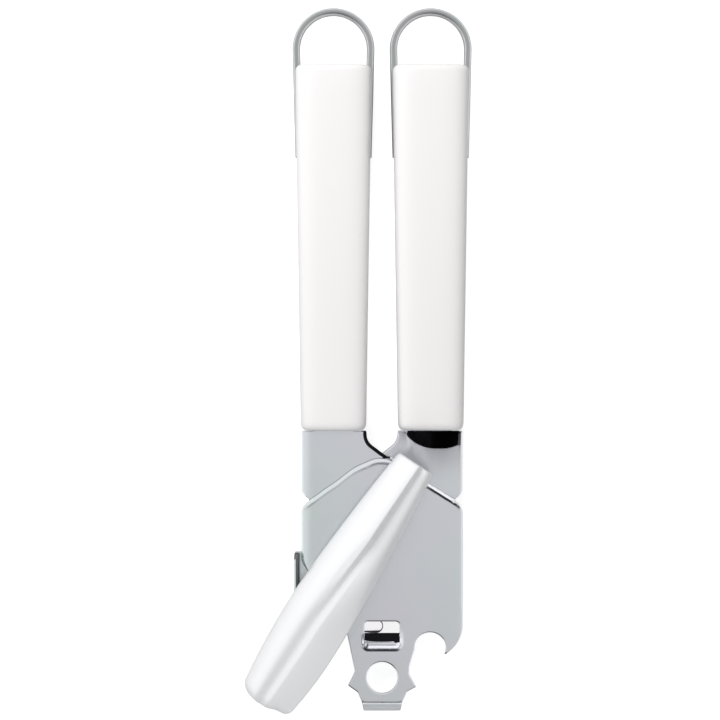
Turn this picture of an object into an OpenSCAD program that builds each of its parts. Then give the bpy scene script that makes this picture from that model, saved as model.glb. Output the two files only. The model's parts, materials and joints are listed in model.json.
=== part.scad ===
/* [Lengths] */
// Rise of the hanging loops above the handles
loop_rise = 17.1; // [16:0.1:24]
// Length of a handle sleeve
handle_l = 108.8; // [100:0.1:125]
// Length of the plates below the handles
plate_l = 83.9; // [83.9:0.1:90]

/* [Handles] */
// Sideways distance of each handle from the plates' centreline
handle_x = 14.5; // [14:0.1:17]
// Width of a sleeve at its mouth
handle_mouth_w = 19.5; // [19:0.1:22]
// Width of a sleeve at its top
handle_top_w = 22.8; // [22:0.1:23.4]
// Thickness of a sleeve
handle_t = 14.5; // [14:0.1:17]
// Wall of a sleeve
sleeve_wall = 2.6; // [2.4:0.1:3]
// Clearance of the core in its sleeve, on each side
core_clear = 0.1; // [0.05:0.05:0.2]
// Width of a lever's tang inside the core
tang_w = 12; // [10:0.5:12.5]
// Length of a tang above the sleeve's mouth
tang_l = 67; // [50:1:72]
// Diameter of a tang pin
pin_d = 3; // [2:0.5:4]

/* [Hanging loops] */
// Width of a loop over its bend
loop_w = 24.5; // [24.3:0.1:25.5]
// Thickness of the loop's band
loop_t = 2.3; // [2:0.1:2.4]
// Depth of the loop's band
loop_d = 4.6; // [4:0.1:5]
// Length of a leg from the bend to its hook
loop_leg = 32; // [28:1:34]
// Lean of each leg towards the other, in degrees
loop_lean = 1.5; // [1:0.1:1.5]
// Reach of the hook at the end of a leg, inwards from the leg's middle
loop_hook = 4; // [3.6:0.1:4.6]

/* [Lever sheet] */
// Thickness of the lever sheet
sheet_t = 1.5; // [1.2:0.1:1.6]
// Width of the lower plate
plate_w = 48; // [46:0.5:50]
// Height of the step from the left tang up to the lower plate
front_step = 2; // [2:0.1:2.4]
// Gap between the two levers where they cross
lever_gap = 0.3; // [0.3:0.05:0.5]
// Distance of the roof's top edge below the handles
roof_drop = 8.9; // [8.5:0.1:9.5]
// Slope of the roof's sides, in degrees
roof_slope = 32; // [30:0.5:34]
// Distance of the plates' side notches below the handles
notch_drop = 19.2; // [18.5:0.1:20]
// Inner edge of each tang plate from the centreline
throat_half_w = 4.7; // [4.6:0.1:6]

/* [Opener tip] */
// Radius of the crown-cap notch
cap_r = 4.65; // [4.2:0.05:4.9]
// Sideways place of the crown-cap notch from the centreline
cap_x = 14.3; // [14:0.1:14.8]
// Place of the crown-cap notch above the tip
cap_rise = 19; // [18.6:0.1:19.4]
// Radius of the lobe round the crown-cap notch
lobe_r = 10; // [9.5:0.1:10.4]
// Width of the slot above the pressed lip
slot_w = 10.5; // [9:0.1:11]
// Height of the slot's clear part
slot_h = 3.6; // [3:0.1:4]
// Radius of the pressed lip
lip_r = 2.7; // [2.4:0.1:2.9]
// Radius of the ring hole
ring_r = 4.62; // [4:0.02:5]
// Place of the ring hole above the tip
ring_rise = 10.2; // [9.8:0.1:10.6]
// Half width across the pointed ears
ear_half_w = 10.2; // [9.6:0.1:11]
// Length of the bent tip, seen from the front
tip_l = 2.7; // [2:0.1:3.2]
// Angle that the tip is bent back by
tip_bend = 50; // [30:1:55]

/* [Pivot] */
// Distance of the pivot below the handles
pivot_drop = 21.7; // [21:0.1:23]
// Diameter of the pivot rivet's shank
pivot_d = 5; // [4:0.5:6]
// Diameter of the pivot rivet's heads
pivot_head_d = 8.4; // [7:0.1:9]
// Running clearance on each round fit, on the radius
run_fit = 0.05; // [0.03:0.01:0.08]
// How far the levers open, in degrees
open_travel = 35; // [20:1:36]

/* [Jaw] */
// Distance of the key's spindle from the pivot
spindle_reach = 24.82; // [24:0.02:26]
// Direction of the spindle from the pivot, in degrees
spindle_dir = 243.4; // [242:0.1:245]
// Distance of the cutter's axle from the spindle
cutter_reach = 9.9; // [9.6:0.1:10.4]
// Direction of the cutter's axle from the spindle, in degrees
cutter_dir = 135; // [130:1:140]
// Overhang of the stop flange beyond the lower plate's left edge
flange_over = 2.2; // [1.8:0.05:2.4]
// Height of the stop flange above the back of the rear lever
flange_h = 6.8; // [5:0.1:7.5]
// Length of the stop flange
flange_l = 12.6; // [10:0.1:13]
// Radius of the guard arm's middle line round the pivot
guard_reach = 37.1; // [36.6:0.1:37.6]
// Width of the guard arm
guard_w = 4.2; // [3.4:0.1:4.6]

/* [Wheels] */
// Diameter over the feed wheel's teeth
feed_d = 10.4; // [10:0.1:10.8]
// Number of teeth on the feed wheel
feed_teeth = 16; // [12:1:20]
// Depth of the feed wheel's teeth
tooth_h = 0.8; // [0.5:0.1:1]
// Thickness of the feed wheel
feed_t = 2; // [1.8:0.1:2]
// Diameter of the cutting wheel
cutter_d = 10.6; // [10:0.1:11]
// Thickness of the cutting wheel
cutter_t = 1.2; // [1:0.1:1.2]
// Diameter of the cutter's axle journal
axle_d = 4; // [3:0.5:4.5]
// Diameter of the collar that rides on the can's rim
collar_d = 6.2; // [6:0.1:6.6]
// Diameter of the cutter axle's head
axle_head_d = 6.8; // [6:0.1:8]

/* [Spindle] */
// Diameter of the spindle's journal
spindle_d = 5; // [4.5:0.1:5.2]
// Diameter of the bush's barrel
bush_d = 8.4; // [8:0.1:9]
// Diameter of the bush's flange
bush_flange_d = 12.4; // [10:0.1:13]
// Thickness of the bush's flange
bush_flange_t = 1.5; // [1:0.1:1.6]
// How far the bush stands proud in front of the lower plate
bush_proud = 1.3; // [1:0.1:1.6]
// Side of the square that drives the feed wheel
feed_square = 3.4; // [3:0.1:3.4]
// Side of the square that the key drives
key_square = 4.2; // [3.8:0.1:4.4]
// Diameter of the steel socket in the key
insert_d = 8.4; // [7.5:0.1:9]

/* [Turning key] */
// Reach of the key's upper arm from its axis
key_upper_l = 40.2; // [36:0.1:42]
// Reach of the key's lower arm from its axis
key_lower_l = 43.8; // [40:0.1:45]
// Direction of the key's lower arm at rest, in degrees
key_dir = 236.5; // [230:0.5:240]
// Half width of the key's upper end on its full flank
key_end_full = 7.5; // [6.5:0.1:8.5]
// Half width of the key's upper end on its hollow flank
key_end_hollow = 4.6; // [4:0.1:6]
// Greatest half width of the key on its left side
key_left_w = 10.65; // [9.5:0.05:11.5]
// Greatest half width of the key on its right side
key_right_w = 9.6; // [8.5:0.1:10.5]
// Half width of the key's lower end on its left side
key_low_left_w = 7.9; // [7:0.1:9]
// Half width of the key's lower end on its right side
key_low_right_w = 7.9; // [6.5:0.1:8.5]
// Height of the key's body over its axis
key_h = 13.8; // [12:0.1:15]
// Height of the key's body at its ends
key_end_h = 10.5; // [9:0.1:11.5]
// Clear height under the key's body, above the lower plate
key_lift = 6.5; // [6:0.1:8]
// Diameter of the key's hub under its body
key_hub_d = 15; // [12:0.5:16]

/* [Hidden] */
$fn = 64;

steel = [0.76, 0.77, 0.79];
dull_steel = [0.6, 0.61, 0.63];
white = [0.95, 0.95, 0.94];
cream = [0.86, 0.85, 0.82];

// Small named values that several pieces share
eps = 0.01;
hair = 0.02;
seat = 0.05;
axial_gap = 0.3;
mouth_gap = 0.2;

// Lengths along the opener, from the middle of its overall length
overall_l = loop_rise + handle_l + plate_l;
loop_top_y = overall_l / 2;
tip_y = -overall_l / 2;
handle_top_y = loop_top_y - loop_rise;
mouth_y = handle_top_y - handle_l;
shoulder_y = mouth_y - mouth_gap;
roof_y = mouth_y - roof_drop;
notch_y = mouth_y - notch_drop;

// Heights: the sleeves' backs and the cutter axle's head lie on the surface
tang_z = handle_t / 2 - sheet_t / 2;
plate_z = tang_z + front_step;
plate_front_z = plate_z + sheet_t;
rear_z = tang_z - lever_gap - sheet_t;
rear_front_z = rear_z + sheet_t;
feed_top_z = rear_z - axial_gap;
feed_z = feed_top_z - feed_t;
cutter_top_z = feed_z - axial_gap;
cutter_z = cutter_top_z - cutter_t;
axle_head_t = cutter_z - seat;
key_z = plate_front_z + key_lift;
key_roof = 6.3;
hub_z = plate_front_z + bush_proud + axial_gap;
insert_top_z = key_z + key_h - key_roof;

// Places along the key where its sides are widest, and what its rounded corners take off its reach
key_left_bulge = 10;
key_right_bulge = 23;
key_edge_trim = 1.5;

// Plan: the plates' centreline is placed so that the whole opener is centred on the frame
half_w = plate_w / 2;
pivot_off = [0, mouth_y - pivot_drop];
spindle_off = pivot_off + spindle_reach * [cos(spindle_dir), sin(spindle_dir)];
cutter_off = spindle_off + cutter_reach * [cos(cutter_dir), sin(cutter_dir)];
key_left_edge = min([for (s = [-key_upper_l:1:key_lower_l])
    spindle_off.x + s * cos(key_dir) - key_left(s) * abs(sin(key_dir))]);
right_edge = handle_x + loop_w / 2;
centre_x = -(key_left_edge + key_edge_trim + right_edge) / 2;
pivot = pivot_off + [centre_x, 0];
spindle = spindle_off + [centre_x, 0];
cutter = cutter_off + [centre_x, 0];

// ---------- helpers ----------

function unit(v) = v / norm(v);
function polar(c, r, a) = [c.x + r * cos(a), c.y + r * sin(a)];
function arc(c, r, a0, a1, n = 12) = [for (i = [0:n]) polar(c, r, a0 + (a1 - a0) * i / n)];
function wrap(a) = a > 180 ? a - 360 : a < -180 ? a + 360 : a;

// One corner of an outline, rounded to radius r
function corner(p0, p1, p2, r, n = 8) =
    r <= 0 ? [p1] :
    let (u = unit(p0 - p1), v = unit(p2 - p1), half = acos(max(-1, min(1, u * v))) / 2)
    let (c = p1 + unit(u + v) * r / sin(half))
    let (s = p1 + u * r / tan(half) - c, e = p1 + v * r / tan(half) - c)
    let (a0 = atan2(s.y, s.x), sweep = wrap(atan2(e.y, e.x) - a0))
    [for (i = [0:n]) polar(c, r, a0 + sweep * i / n)];

// An outline given as [x, y, corner radius] at each corner
function rounded(list) = let (n = len(list)) [for (i = [0:n - 1])
    let (a = list[(i + n - 1) % n], b = list[i], c = list[(i + 1) % n])
    each corner([a.x, a.y], [b.x, b.y], [c.x, c.y], b[2])];

// A closed skin over rings of equally many points, with a middle point on each end
module loft(rings, start_mid, end_mid) {
    nr = len(rings);
    np = len(rings[0]);
    points = concat([for (r = rings) each r], [start_mid, end_mid]);
    sides = [for (r = [0:nr - 2], i = [0:np - 1])
        let (a = r * np + i, b = r * np + (i + 1) % np)
        each [[a, b, b + np], [a, b + np, a + np]]];
    start_cap = [for (i = [0:np - 1]) [nr * np, (i + 1) % np, i]];
    end_cap = [for (i = [0:np - 1]) [nr * np + 1, (nr - 1) * np + i, (nr - 1) * np + (i + 1) % np]];
    polyhedron(points, concat(sides, start_cap, end_cap));
}

module on_centreline() {
    translate([centre_x, 0, 0]) children();
}

module at(p, z = 0) {
    translate([p.x, p.y, z]) children();
}

module disc(r, z0, z1) {
    translate([0, 0, z0]) cylinder(r = r, h = z1 - z0);
}

module ring(r, bore, z0, z1) {
    difference() {
        disc(r, z0, z1);
        disc(bore, z0 - 1, z1 + 1);
    }
}

// A sheet given by its side profile in Y and Z, as wide as the opener
module side_sheet(profile) {
    translate([-overall_l / 2, 0, 0]) rotate([90, 0, 90]) linear_extrude(overall_l) polygon(profile);
}

module flat_oval(w, d, r) {
    square([w - 2 * r, d], center = true);
    square([w, d - 2 * r], center = true);
    for (x = [-1, 1], y = [-1, 1])
        translate([x * (w / 2 - r), y * (d / 2 - r)]) circle(r);
}

// ---------- lever sheet ----------

roof_half = 2.2;
roof_mitre = tan(roof_slope / 2);
step_w = 1.3;
step_angle = atan(front_step / step_w);
step_shift = sheet_t / sin(step_angle) - sheet_t / tan(step_angle);
corner_r = 3.5;
body_corner_r = 4.5;
throat_r = 4;
throat_slope = 37;
throat_drop = 3.3;
throat_y = shoulder_y - throat_drop;

// The area below the roof line, grown outwards by d
module under_roof(d) {
    top_x = roof_half + d * roof_mitre - off_mitre;
    side_x = half_w + 8;
    side_y = roof_y + d - (side_x - top_x) * tan(roof_slope);
    polygon([
        [-side_x, side_y], [-top_x, roof_y + d], [top_x, roof_y + d],
        [side_x, side_y], [side_x, tip_y - 10], [-side_x, tip_y - 10]
    ]);
}

// The step's cross-section: outwards from the roof line, and up. It is thinner than the sheet
// by a hair on each face, so that it lies inside the plates that it joins.
step_section = [
    [-step_shift, plate_z + hair], [step_w - step_shift, tang_z + hair], [step_w, tang_z + hair],
    [step_w, tang_z + sheet_t - hair], [0, plate_front_z - hair], [-step_shift, plate_front_z - hair]
];

// The step between the two levels, along the roof's flat top and its two sloping sides
module roof_step() {
    slope_l = (half_w - roof_half - step_end) / cos(roof_slope);
    low = [roof_half + slope_l * cos(roof_slope), roof_y - slope_l * sin(roof_slope)];
    function at_end(side) = [for (p = step_section)
        [side * (low.x + p.x * sin(roof_slope)), low.y + p.x * cos(roof_slope), p.y]];
    function at_mitre(side) = [for (p = step_section)
        [side * (roof_half + p.x * roof_mitre), roof_y + p.x, p.y]];
    mid_z = plate_z + sheet_t / 2;
    loft(
        [at_end(1), at_mitre(1), at_mitre(-1), at_end(-1)],
        [low.x, low.y, mid_z], [-low.x, low.y, mid_z]
    );
}

step_end = 2.4;
neck_y = tip_y + 12;
neck_half_w = 8.1;
waist_y = mouth_y - 39.2;
lobe_c = [half_w - lobe_r, tip_y + cap_rise + 6.9];
cap_c = [cap_x, tip_y + cap_rise];
bend_y = tip_y + tip_l;
ring_c = [0, tip_y + ring_rise];
tip_half_w = 5.5;

// Outline of the lower plate, from the roof round the hook, the ears and the tip
module lower_plate_outline() {
    difference() {
        union() {
            intersection() {
                polygon(rounded([
                    [-half_w, roof_y, 0], [half_w, roof_y, 0],
                    [half_w, lobe_c.y, 0], [lobe_c.x, lobe_c.y, 0],
                    [cap_c.x - 0.5 * cap_r, cap_c.y + 0.5 * cap_r, 0],
                    [cap_c.x - 0.88 * cap_r, cap_c.y - 0.3, 0],
                    [neck_half_w, neck_y + 1.6, 2.5], [neck_half_w - 0.1, neck_y - 0.8, 1.5],
                    [ear_half_w, tip_y + 7.4, 0.25], [7.4, tip_y + 5.9, 0.8],
                    [tip_half_w + 0.5, bend_y, 0.6], [tip_half_w, tip_y, 0.3],
                    [-tip_half_w, tip_y, 0.3], [-tip_half_w - 0.5, bend_y, 0.6],
                    [-7.4, tip_y + 5.9, 0.8], [-ear_half_w, tip_y + 7.9, 0.25],
                    [-neck_half_w, neck_y, 1.5], [-neck_half_w - 2.6, neck_y + 12.3, 8],
                    [-half_w, waist_y, 5]
                ]));
                rounded_shoulders();
            }
            difference() {
                translate(lobe_c) circle(lobe_r);
                translate(cap_c) rotate(-cap_mouth) translate([-3 * lobe_r, -6 * lobe_r])
                    square([6 * lobe_r, 6 * lobe_r]);
            }
        }
        translate(cap_c) circle(cap_r);
    }
}

cap_mouth = 24.7;

// Everything under the step, with the plate's two upper corners rounded
module rounded_shoulders() {
    in_x = half_w - step_end - 0.3;
    top_x = roof_half - step_lap * roof_mitre - off_mitre;
    function line_y(x, d) = roof_y - d - (x - roof_half + d * roof_mitre) * tan(roof_slope);
    low_y = line_y(half_w, 0) - 6;
    polygon([
        [-half_w, low_y], [-in_x, low_y], [-in_x, line_y(in_x, step_lap)], [-top_x, roof_y - step_lap],
        [top_x, roof_y - step_lap], [in_x, line_y(in_x, step_lap)], [in_x, low_y], [half_w, low_y],
        [half_w, tip_y - 10], [-half_w, tip_y - 10]
    ]);
    for (side = [0, 1])
        mirror([side, 0]) polygon(rounded([
            [in_x - 1, low_y, 0], [in_x - 1, line_y(in_x, 0) - 1, 0], [in_x, line_y(in_x, 0), 0],
            [half_w, line_y(half_w, 0), body_corner_r], [half_w, low_y, 0]
        ]));
}

// How far the lower plate reaches into the step's metal, and its corners' distance off the mitres
off_mitre = 0.1;
step_lap = 0.4;

// Outline of a tang with the plate below it, for the left lever
module tang_outline() {
    polygon(rounded([
        [-handle_x - tang_w / 2, mouth_y + tang_l, 2], [-handle_x + tang_w / 2, mouth_y + tang_l, 2],
        [-handle_x + tang_w / 2, shoulder_y, 0], [-throat_half_w, shoulder_y, 0],
        [-throat_half_w + 0.3, throat_y, throat_r],
        [-throat_half_w + 11.3, throat_y - 11 * tan(throat_slope), 0],
        [-throat_half_w + 11.3, notch_y - 6, 0], [-half_w + 8, notch_y - 6, 0],
        [-half_w + 3.4, notch_y - 2.3, 0], [-half_w, notch_y, corner_r],
        [-half_w, shoulder_y, 0], [-handle_x - tang_w / 2, shoulder_y, 0]
    ]));
}

// The pressed lip over the slot: a rounded hood, open towards the slot
module pressed_lip() {
    lip_y = slot_top_y - slot_h - lip_r;
    half_l = slot_w / 2 + 0.45 - lip_r;
    module capsule(r) {
        rotate([0, 90, 0]) rotate_extrude() polygon(concat(
            [[0, -half_l - r], [0, half_l + r]],
            [for (p = arc([0, half_l], r, 90, 0, 6)) if (p.x > eps) p],
            [for (p = arc([0, -half_l], r, 0, -90, 6)) if (p.x > eps) p]
        ));
    }
    intersection() {
        translate([0, lip_y, plate_front_z - lip_sink]) difference() {
            capsule(lip_r);
            capsule(lip_r - lip_wall);
        }
        translate([-plate_w, lip_y - 2 * lip_r, plate_z + 0.1]) cube([2 * plate_w, 4 * lip_r, 4 * lip_r]);
    }
}

slot_top_y = tip_y + 26.9;
lip_sink = 0.3;
lip_wall = 1.1;

module slot_cut() {
    low_y = slot_top_y - slot_h - lip_r - 0.8;
    translate([0, (slot_top_y + low_y) / 2, plate_z - 1]) linear_extrude(sheet_t + 2)
        flat_oval(slot_w, slot_top_y - low_y, 1.5);
}

module front_lever() {
    tip_drop = tip_l * tan(tip_bend);
    end = [tip_y, plate_front_z - tip_drop];
    plate_profile = [
        [mouth_y, plate_z], [mouth_y, plate_front_z], [bend_y, plate_front_z], end,
        end + sheet_t * [sin(tip_bend), -cos(tip_bend)],
        [bend_y + sheet_t * tan(tip_bend / 2), plate_z]
    ];
    color(steel) on_centreline() difference() {
        union() {
            difference() {
                intersection() {
                    linear_extrude(2 * handle_t) lower_plate_outline();
                    side_sheet(plate_profile);
                }
                slot_cut();
            }
            pressed_lip();
            translate([0, 0, tang_z]) linear_extrude(sheet_t) difference() {
                tang_outline();
                under_roof(step_w / 2);
            }
            roof_step();
        }
        at(ring_c) disc(ring_r, 0, handle_t);
        at(pivot_off) disc(pivot_d / 2, 0, handle_t);
        at(spindle_off) disc(bush_d / 2, 0, handle_t);
        tang_pin_holes(-handle_x, pin_d / 2);
    }
}

// ---------- rear lever ----------

joggle_l = 4.2;
joggle_y = shoulder_y - 0.8;
pocket_r = bush_d / 2 + 1.3;
guard_in = guard_reach - guard_w / 2;
guard_out = guard_reach + guard_w / 2;
guard_end_dir = 267.3;
flange_top_y = mouth_y - 36.3;
jaw_left = half_w + flange_over;

// The space that the spindle's bush needs as the rear lever swings
module bush_pocket() {
    translate(spindle_off) circle(pocket_r);
    polygon(concat(
        arc(pivot_off, spindle_reach - pocket_r, spindle_dir, spindle_dir + open_travel + 8),
        arc(pivot_off, guard_in, spindle_dir + open_travel + 8, spindle_dir)
    ));
}

module guard_arm() {
    polygon(concat(
        arc(pivot_off, guard_in, spindle_dir - 6, guard_end_dir),
        arc(pivot_off, guard_out, guard_end_dir, spindle_dir - 6)
    ));
    translate(polar(pivot_off, guard_reach, guard_end_dir)) circle(guard_w / 2);
}

// Outline of the rear lever's plate and jaw, closed
module rear_outline() {
    jaw_low = polar(pivot_off, guard_out, spindle_dir - 6);
    jaw_in = polar(pivot_off, guard_in, spindle_dir - 4);
    difference() {
        polygon(rounded([
            [handle_x - tang_w / 2, mouth_y + tang_l, 2], [handle_x + tang_w / 2, mouth_y + tang_l, 2],
            [handle_x + tang_w / 2, shoulder_y, 0], [half_w, shoulder_y, 0],
            [half_w, notch_y, corner_r], [9, pivot_off.y - 8, 5], [2, pivot_off.y - 12, 6],
            [-4.5, pivot_off.y - 14.5, 4], [spindle_off.x, spindle_off.y, 0], [jaw_in.x, jaw_in.y, 0],
            [jaw_low.x, jaw_low.y, 1.5], [-jaw_left, flange_top_y - flange_l - 0.8, 4],
            [-jaw_left, flange_top_y, 0.5], [-half_w + 0.6, flange_top_y, 1],
            [-14, pivot_off.y + 0.7, 9], [-4, throat_y - 6.8, 5],
            [throat_half_w - 0.3, throat_y, throat_r], [throat_half_w, shoulder_y, 0],
            [handle_x - tang_w / 2, shoulder_y, 0]
        ]));
        bush_pocket();
    }
    guard_arm();
}

// The flange bent up at the jaw's left edge, which stops against the lower plate
module stop_flange() {
    translate([-jaw_left, 0, 0]) rotate([90, 0, 90]) linear_extrude(sheet_t) polygon(rounded([
        [flange_top_y, rear_z, 0], [flange_top_y, rear_z + flange_h, 1.8],
        [flange_top_y - flange_l, rear_z + flange_h, 1.8], [flange_top_y - flange_l, rear_z, 0]
    ]));
}

module rear_lever() {
    low_y = joggle_y - joggle_l;
    profile = [
        [handle_top_y, tang_z], [handle_top_y, tang_z + sheet_t], [joggle_y, tang_z + sheet_t],
        [low_y, rear_front_z], [tip_y, rear_front_z], [tip_y, rear_z], [low_y, rear_z], [joggle_y, tang_z]
    ];
    color(steel) on_centreline() difference() {
        union() {
            intersection() {
                linear_extrude(2 * handle_t) rear_outline();
                side_sheet(profile);
            }
            stop_flange();
        }
        at(pivot_off) disc(pivot_d / 2 + run_fit, 0, handle_t);
        at(cutter_off) disc(axle_shank_r, 0, handle_t);
        at(cutter_off) axle_countersink();
        tang_pin_holes(handle_x, pin_d / 2);
    }
}

// ---------- pivot ----------

module pivot_rivet() {
    head_r = pivot_head_d / 2;
    color(steel) at(pivot) rotate_extrude() polygon([
        [0, rear_z - washer_t - seat - head_t], [head_r - 1, rear_z - washer_t - seat - head_t],
        [head_r, rear_z - washer_t - seat - 0.6], [head_r, rear_z - washer_t - seat],
        [pivot_d / 2, rear_z - washer_t - seat], [pivot_d / 2, plate_front_z],
        [head_r, plate_front_z], [head_r, plate_front_z + 0.6],
        [head_r - 1, plate_front_z + head_t - 0.3], [head_r - 2.2, plate_front_z + head_t],
        [0, plate_front_z + head_t]
    ]);
}

head_t = 1.4;
washer_t = 0.75;

module pivot_spacer() {
    color(dull_steel) at(pivot)
        ring(pivot_head_d / 2 + 0.5, pivot_d / 2 + run_fit, rear_front_z + seat, plate_z);
}

module pivot_washer() {
    color(dull_steel) at(pivot)
        ring(pivot_head_d / 2 + 0.9, pivot_d / 2 + run_fit, rear_z - seat - washer_t, rear_z - seat);
}

// ---------- handles ----------

pin_low = 13;
pin_under_end = 16;
pin_places = [mouth_y + pin_low, mouth_y + tang_l - pin_under_end];

function handle_half_w(y) =
    (handle_mouth_w + (handle_top_w - handle_mouth_w) * (y - mouth_y) / handle_l) / 2;

// One ring of a sleeve's skin: a rounded box section, drawn in by inset
function sleeve_ring(y, inset, n = 40) = [for (i = [0:n - 1])
    let (a = 360 * (i + 0.5) / n, c = cos(a), s = sin(a))
    [
        (handle_half_w(y) - inset) * sign(c) * pow(abs(c), 0.45), y,
        handle_t / 2 - (handle_t / 2 - inset) * sign(s) * pow(abs(s), 0.55)
    ]];

// Where the skin's rings lie, and how far each is drawn in
sleeve_ends = [
    [0, 0.7], [0.2, 0.3], [0.7, 0.05], [1.3, 0],
    [handle_l / 3, 0], [handle_l * 2 / 3, 0],
    [handle_l - 1.8, 0], [handle_l - 0.9, 0.25], [handle_l - 0.25, 0.8], [handle_l, 1.6]
];

// A tapered block that fills the sleeve's hollow, smaller by clear on each side
module hollow_block(y0, y1, clear) {
    w0 = handle_half_w(y0) - sleeve_wall - clear;
    w1 = handle_half_w(y1) - sleeve_wall - clear;
    translate([0, 0, sleeve_wall + clear]) linear_extrude(handle_t - 2 * (sleeve_wall + clear))
        polygon([[-w0, y0], [w0, y0], [w1, y1], [-w1, y1]]);
}

hollow_top_y = handle_top_y - 3;
core_low_y = mouth_y + 0.8;
core_top_y = hollow_top_y - 0.3;

module tang_pin_holes(x, r) {
    for (y = pin_places)
        translate([x, y, 0]) disc(r, 0, handle_t);
}

// Groove in a sleeve's side for one leg of the loop, with the window for its hook
module leg_groove() {
    depth = loop_t + 2 * loop_clear;
    translate([loop_r, 0, 0]) {
        translate([-loop_t / 2 - loop_clear, -leg_l - 0.8, -loop_d / 2 - loop_clear])
            cube([depth + 4, leg_l + loop_rise, loop_d + 2 * loop_clear]);
        hook_block(loop_clear);
    }
}

module hook_block(clear) {
    translate([-loop_hook - clear, -leg_l - clear, -loop_d / 2 - clear])
        cube([loop_hook + 2 * clear, loop_t + 2 * clear, loop_d + 2 * clear]);
}

loop_clear = 0.15;
leg_l = loop_leg;
loop_r = loop_w / 2 - loop_t / 2;
loop_c_y = loop_top_y - loop_w / 2;

// Places a child that is drawn beside the bend's end at both legs of the loop
module at_legs() {
    for (side = [0, 1])
        mirror([side, 0, 0]) translate([0, loop_c_y, handle_t / 2]) rotate(-loop_lean) children();
}

module handle_sleeve(x) {
    color(white) translate([centre_x + x, 0, 0]) difference() {
        loft(
            [for (e = sleeve_ends) sleeve_ring(mouth_y + e[0], e[1])],
            [0, mouth_y, handle_t / 2], [0, handle_top_y, handle_t / 2]
        );
        hollow_block(mouth_y - 1, hollow_top_y, 0);
        at_legs() leg_groove();
    }
}

module handle_core(x) {
    color(cream) translate([centre_x + x, 0, 0]) difference() {
        hollow_block(core_low_y, core_top_y, core_clear);
        translate([-tang_w / 2 - core_clear, mouth_y - 1, tang_z - core_clear])
            cube([tang_w + 2 * core_clear, tang_l + 1 + core_clear, sheet_t + 2 * core_clear]);
        tang_pin_holes(0, pin_d / 2);
        at_legs() translate([loop_r, 0, 0]) hook_block(loop_clear);
    }
}

module tang_pins(x) {
    inner = sleeve_wall + core_clear;
    color(dull_steel) for (y = pin_places)
        translate([centre_x + x, y, 0]) disc(pin_d / 2, inner, handle_t - inner);
}

module loop_section() {
    flat_oval(loop_t, loop_d, 0.9);
}

module hanging_loop(x) {
    color(dull_steel) translate([centre_x + x, 0, 0]) {
        translate([0, loop_c_y, handle_t / 2]) rotate(-loop_lean)
            rotate_extrude(angle = 180 + 2 * loop_lean) translate([loop_r, 0]) loop_section();
        at_legs() {
            translate([loop_r, 0, 0]) rotate([90, 0, 0]) linear_extrude(leg_l) loop_section();
            translate([loop_r, 0, 0]) hook_block(0);
        }
    }
}

module left_handle_sleeve() { handle_sleeve(-handle_x); }
module left_handle_core() { handle_core(-handle_x); }
module left_tang_pins() { tang_pins(-handle_x); }
module left_hanging_loop() { hanging_loop(-handle_x); }
module right_handle_sleeve() { handle_sleeve(handle_x); }
module right_handle_core() { handle_core(handle_x); }
module right_tang_pins() { tang_pins(handle_x); }
module right_hanging_loop() { hanging_loop(handle_x); }

// ---------- turning key ----------

// The key's long direction is x, from its upper end to its lower end, with its axis at 0
function swell(s, at, from, to, mid, low, high) = s < at
    ? mid - (mid - low) * pow((at - s) / (at + from), 1.5)
    : mid - (mid - high) * pow((s - at) / (to - at), 2);
function key_left(s) =
    swell(s, key_left_bulge, key_upper_l, key_lower_l, key_left_w, key_end_full, key_low_left_w);
function key_right(s) =
    swell(s, key_right_bulge, key_upper_l, key_lower_l, key_right_w, key_end_hollow, key_low_right_w);
function key_height(s) =
    key_h - (key_h - key_end_h) * pow(s / (s < 0 ? key_upper_l : key_lower_l), 2);
function key_turn(s) = max(-1, min(1, s / 14));
function key_valley(s) = -0.9 * key_turn(s);
function valley_depth(s) = 0.14 + 0.12 * pow(key_turn(s), 2);
function ease(t) = t <= 0 ? 0 : t >= 1 ? 1 : t * t * (3 - 2 * t);

// Height over the left side, as a share of the key's height: q runs from 0 in the valley to 1 at
// the edge, cut is the valley's depth, and low is 0 on the upper arm and 1 on the lower arm
function dome(q) = 0.22 + 0.78 * pow(1 - pow(q, 2.3), 0.5);
function left_share(q, cut, low) =
    (1 - low) * (dome(q) - cut * (1 - ease(q / 0.17)))
    + low * dome(q) * (1 - cut * exp(-pow(q / 0.36, 2)));

// Height over the right side: a hollow with a firm edge above, a sharp ridge and a flat flank below
function right_share(q, cut, low) =
    (1 - low) * ((1 - cut) * (1 + 0.04 * sin(180 * q)) - 0.36 * pow(q, 4))
    + low * (1 - cut + (cut - 0.03) * ease(q / 0.2) - 0.42 * pow(max(0, q - 0.2) / 0.8, 1.2));

// The lower end's right half is a little shorter than its left half
function end_slant(s, w) =
    0.9 * pow(max(0, 1 - (key_lower_l - s) / 6), 2) * ease((w - 1) / 4);

function key_point(s, q, inset, pull) =
    let (v = key_valley(s), low = (1 + key_turn(s)) / 2, cut = valley_depth(s))
    let (edge = q < 0 ? -key_left(s) + inset * pull : key_right(s) - inset)
    let (share = q < 0 ? left_share(-q, cut, low) : right_share(q, cut, low))
    let (w = v + (edge - v) * abs(q))
    [s - end_slant(s, w), w, max(inset + 1.6, key_height(s) * share - inset)];

// One ring round the key, drawn in by inset, and by pull times that on its left side
function key_ring(s, inset) = let (foot = 1.2, pull = s > 0 ? 1.8 : 1)
    let (left = -key_left(s) + inset * pull, right = key_right(s) - inset)
    let (slant = end_slant(s, right), n = 12)
    concat(
        [[s, left + foot, inset], [s, left, inset + foot]],
        [for (i = [-n:n]) key_point(s, sign(i) * pow(abs(i) / n, 1.5), inset, pull)],
        [[s - slant, right, inset + foot], [s - slant, right - foot, inset]]
    );

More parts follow.
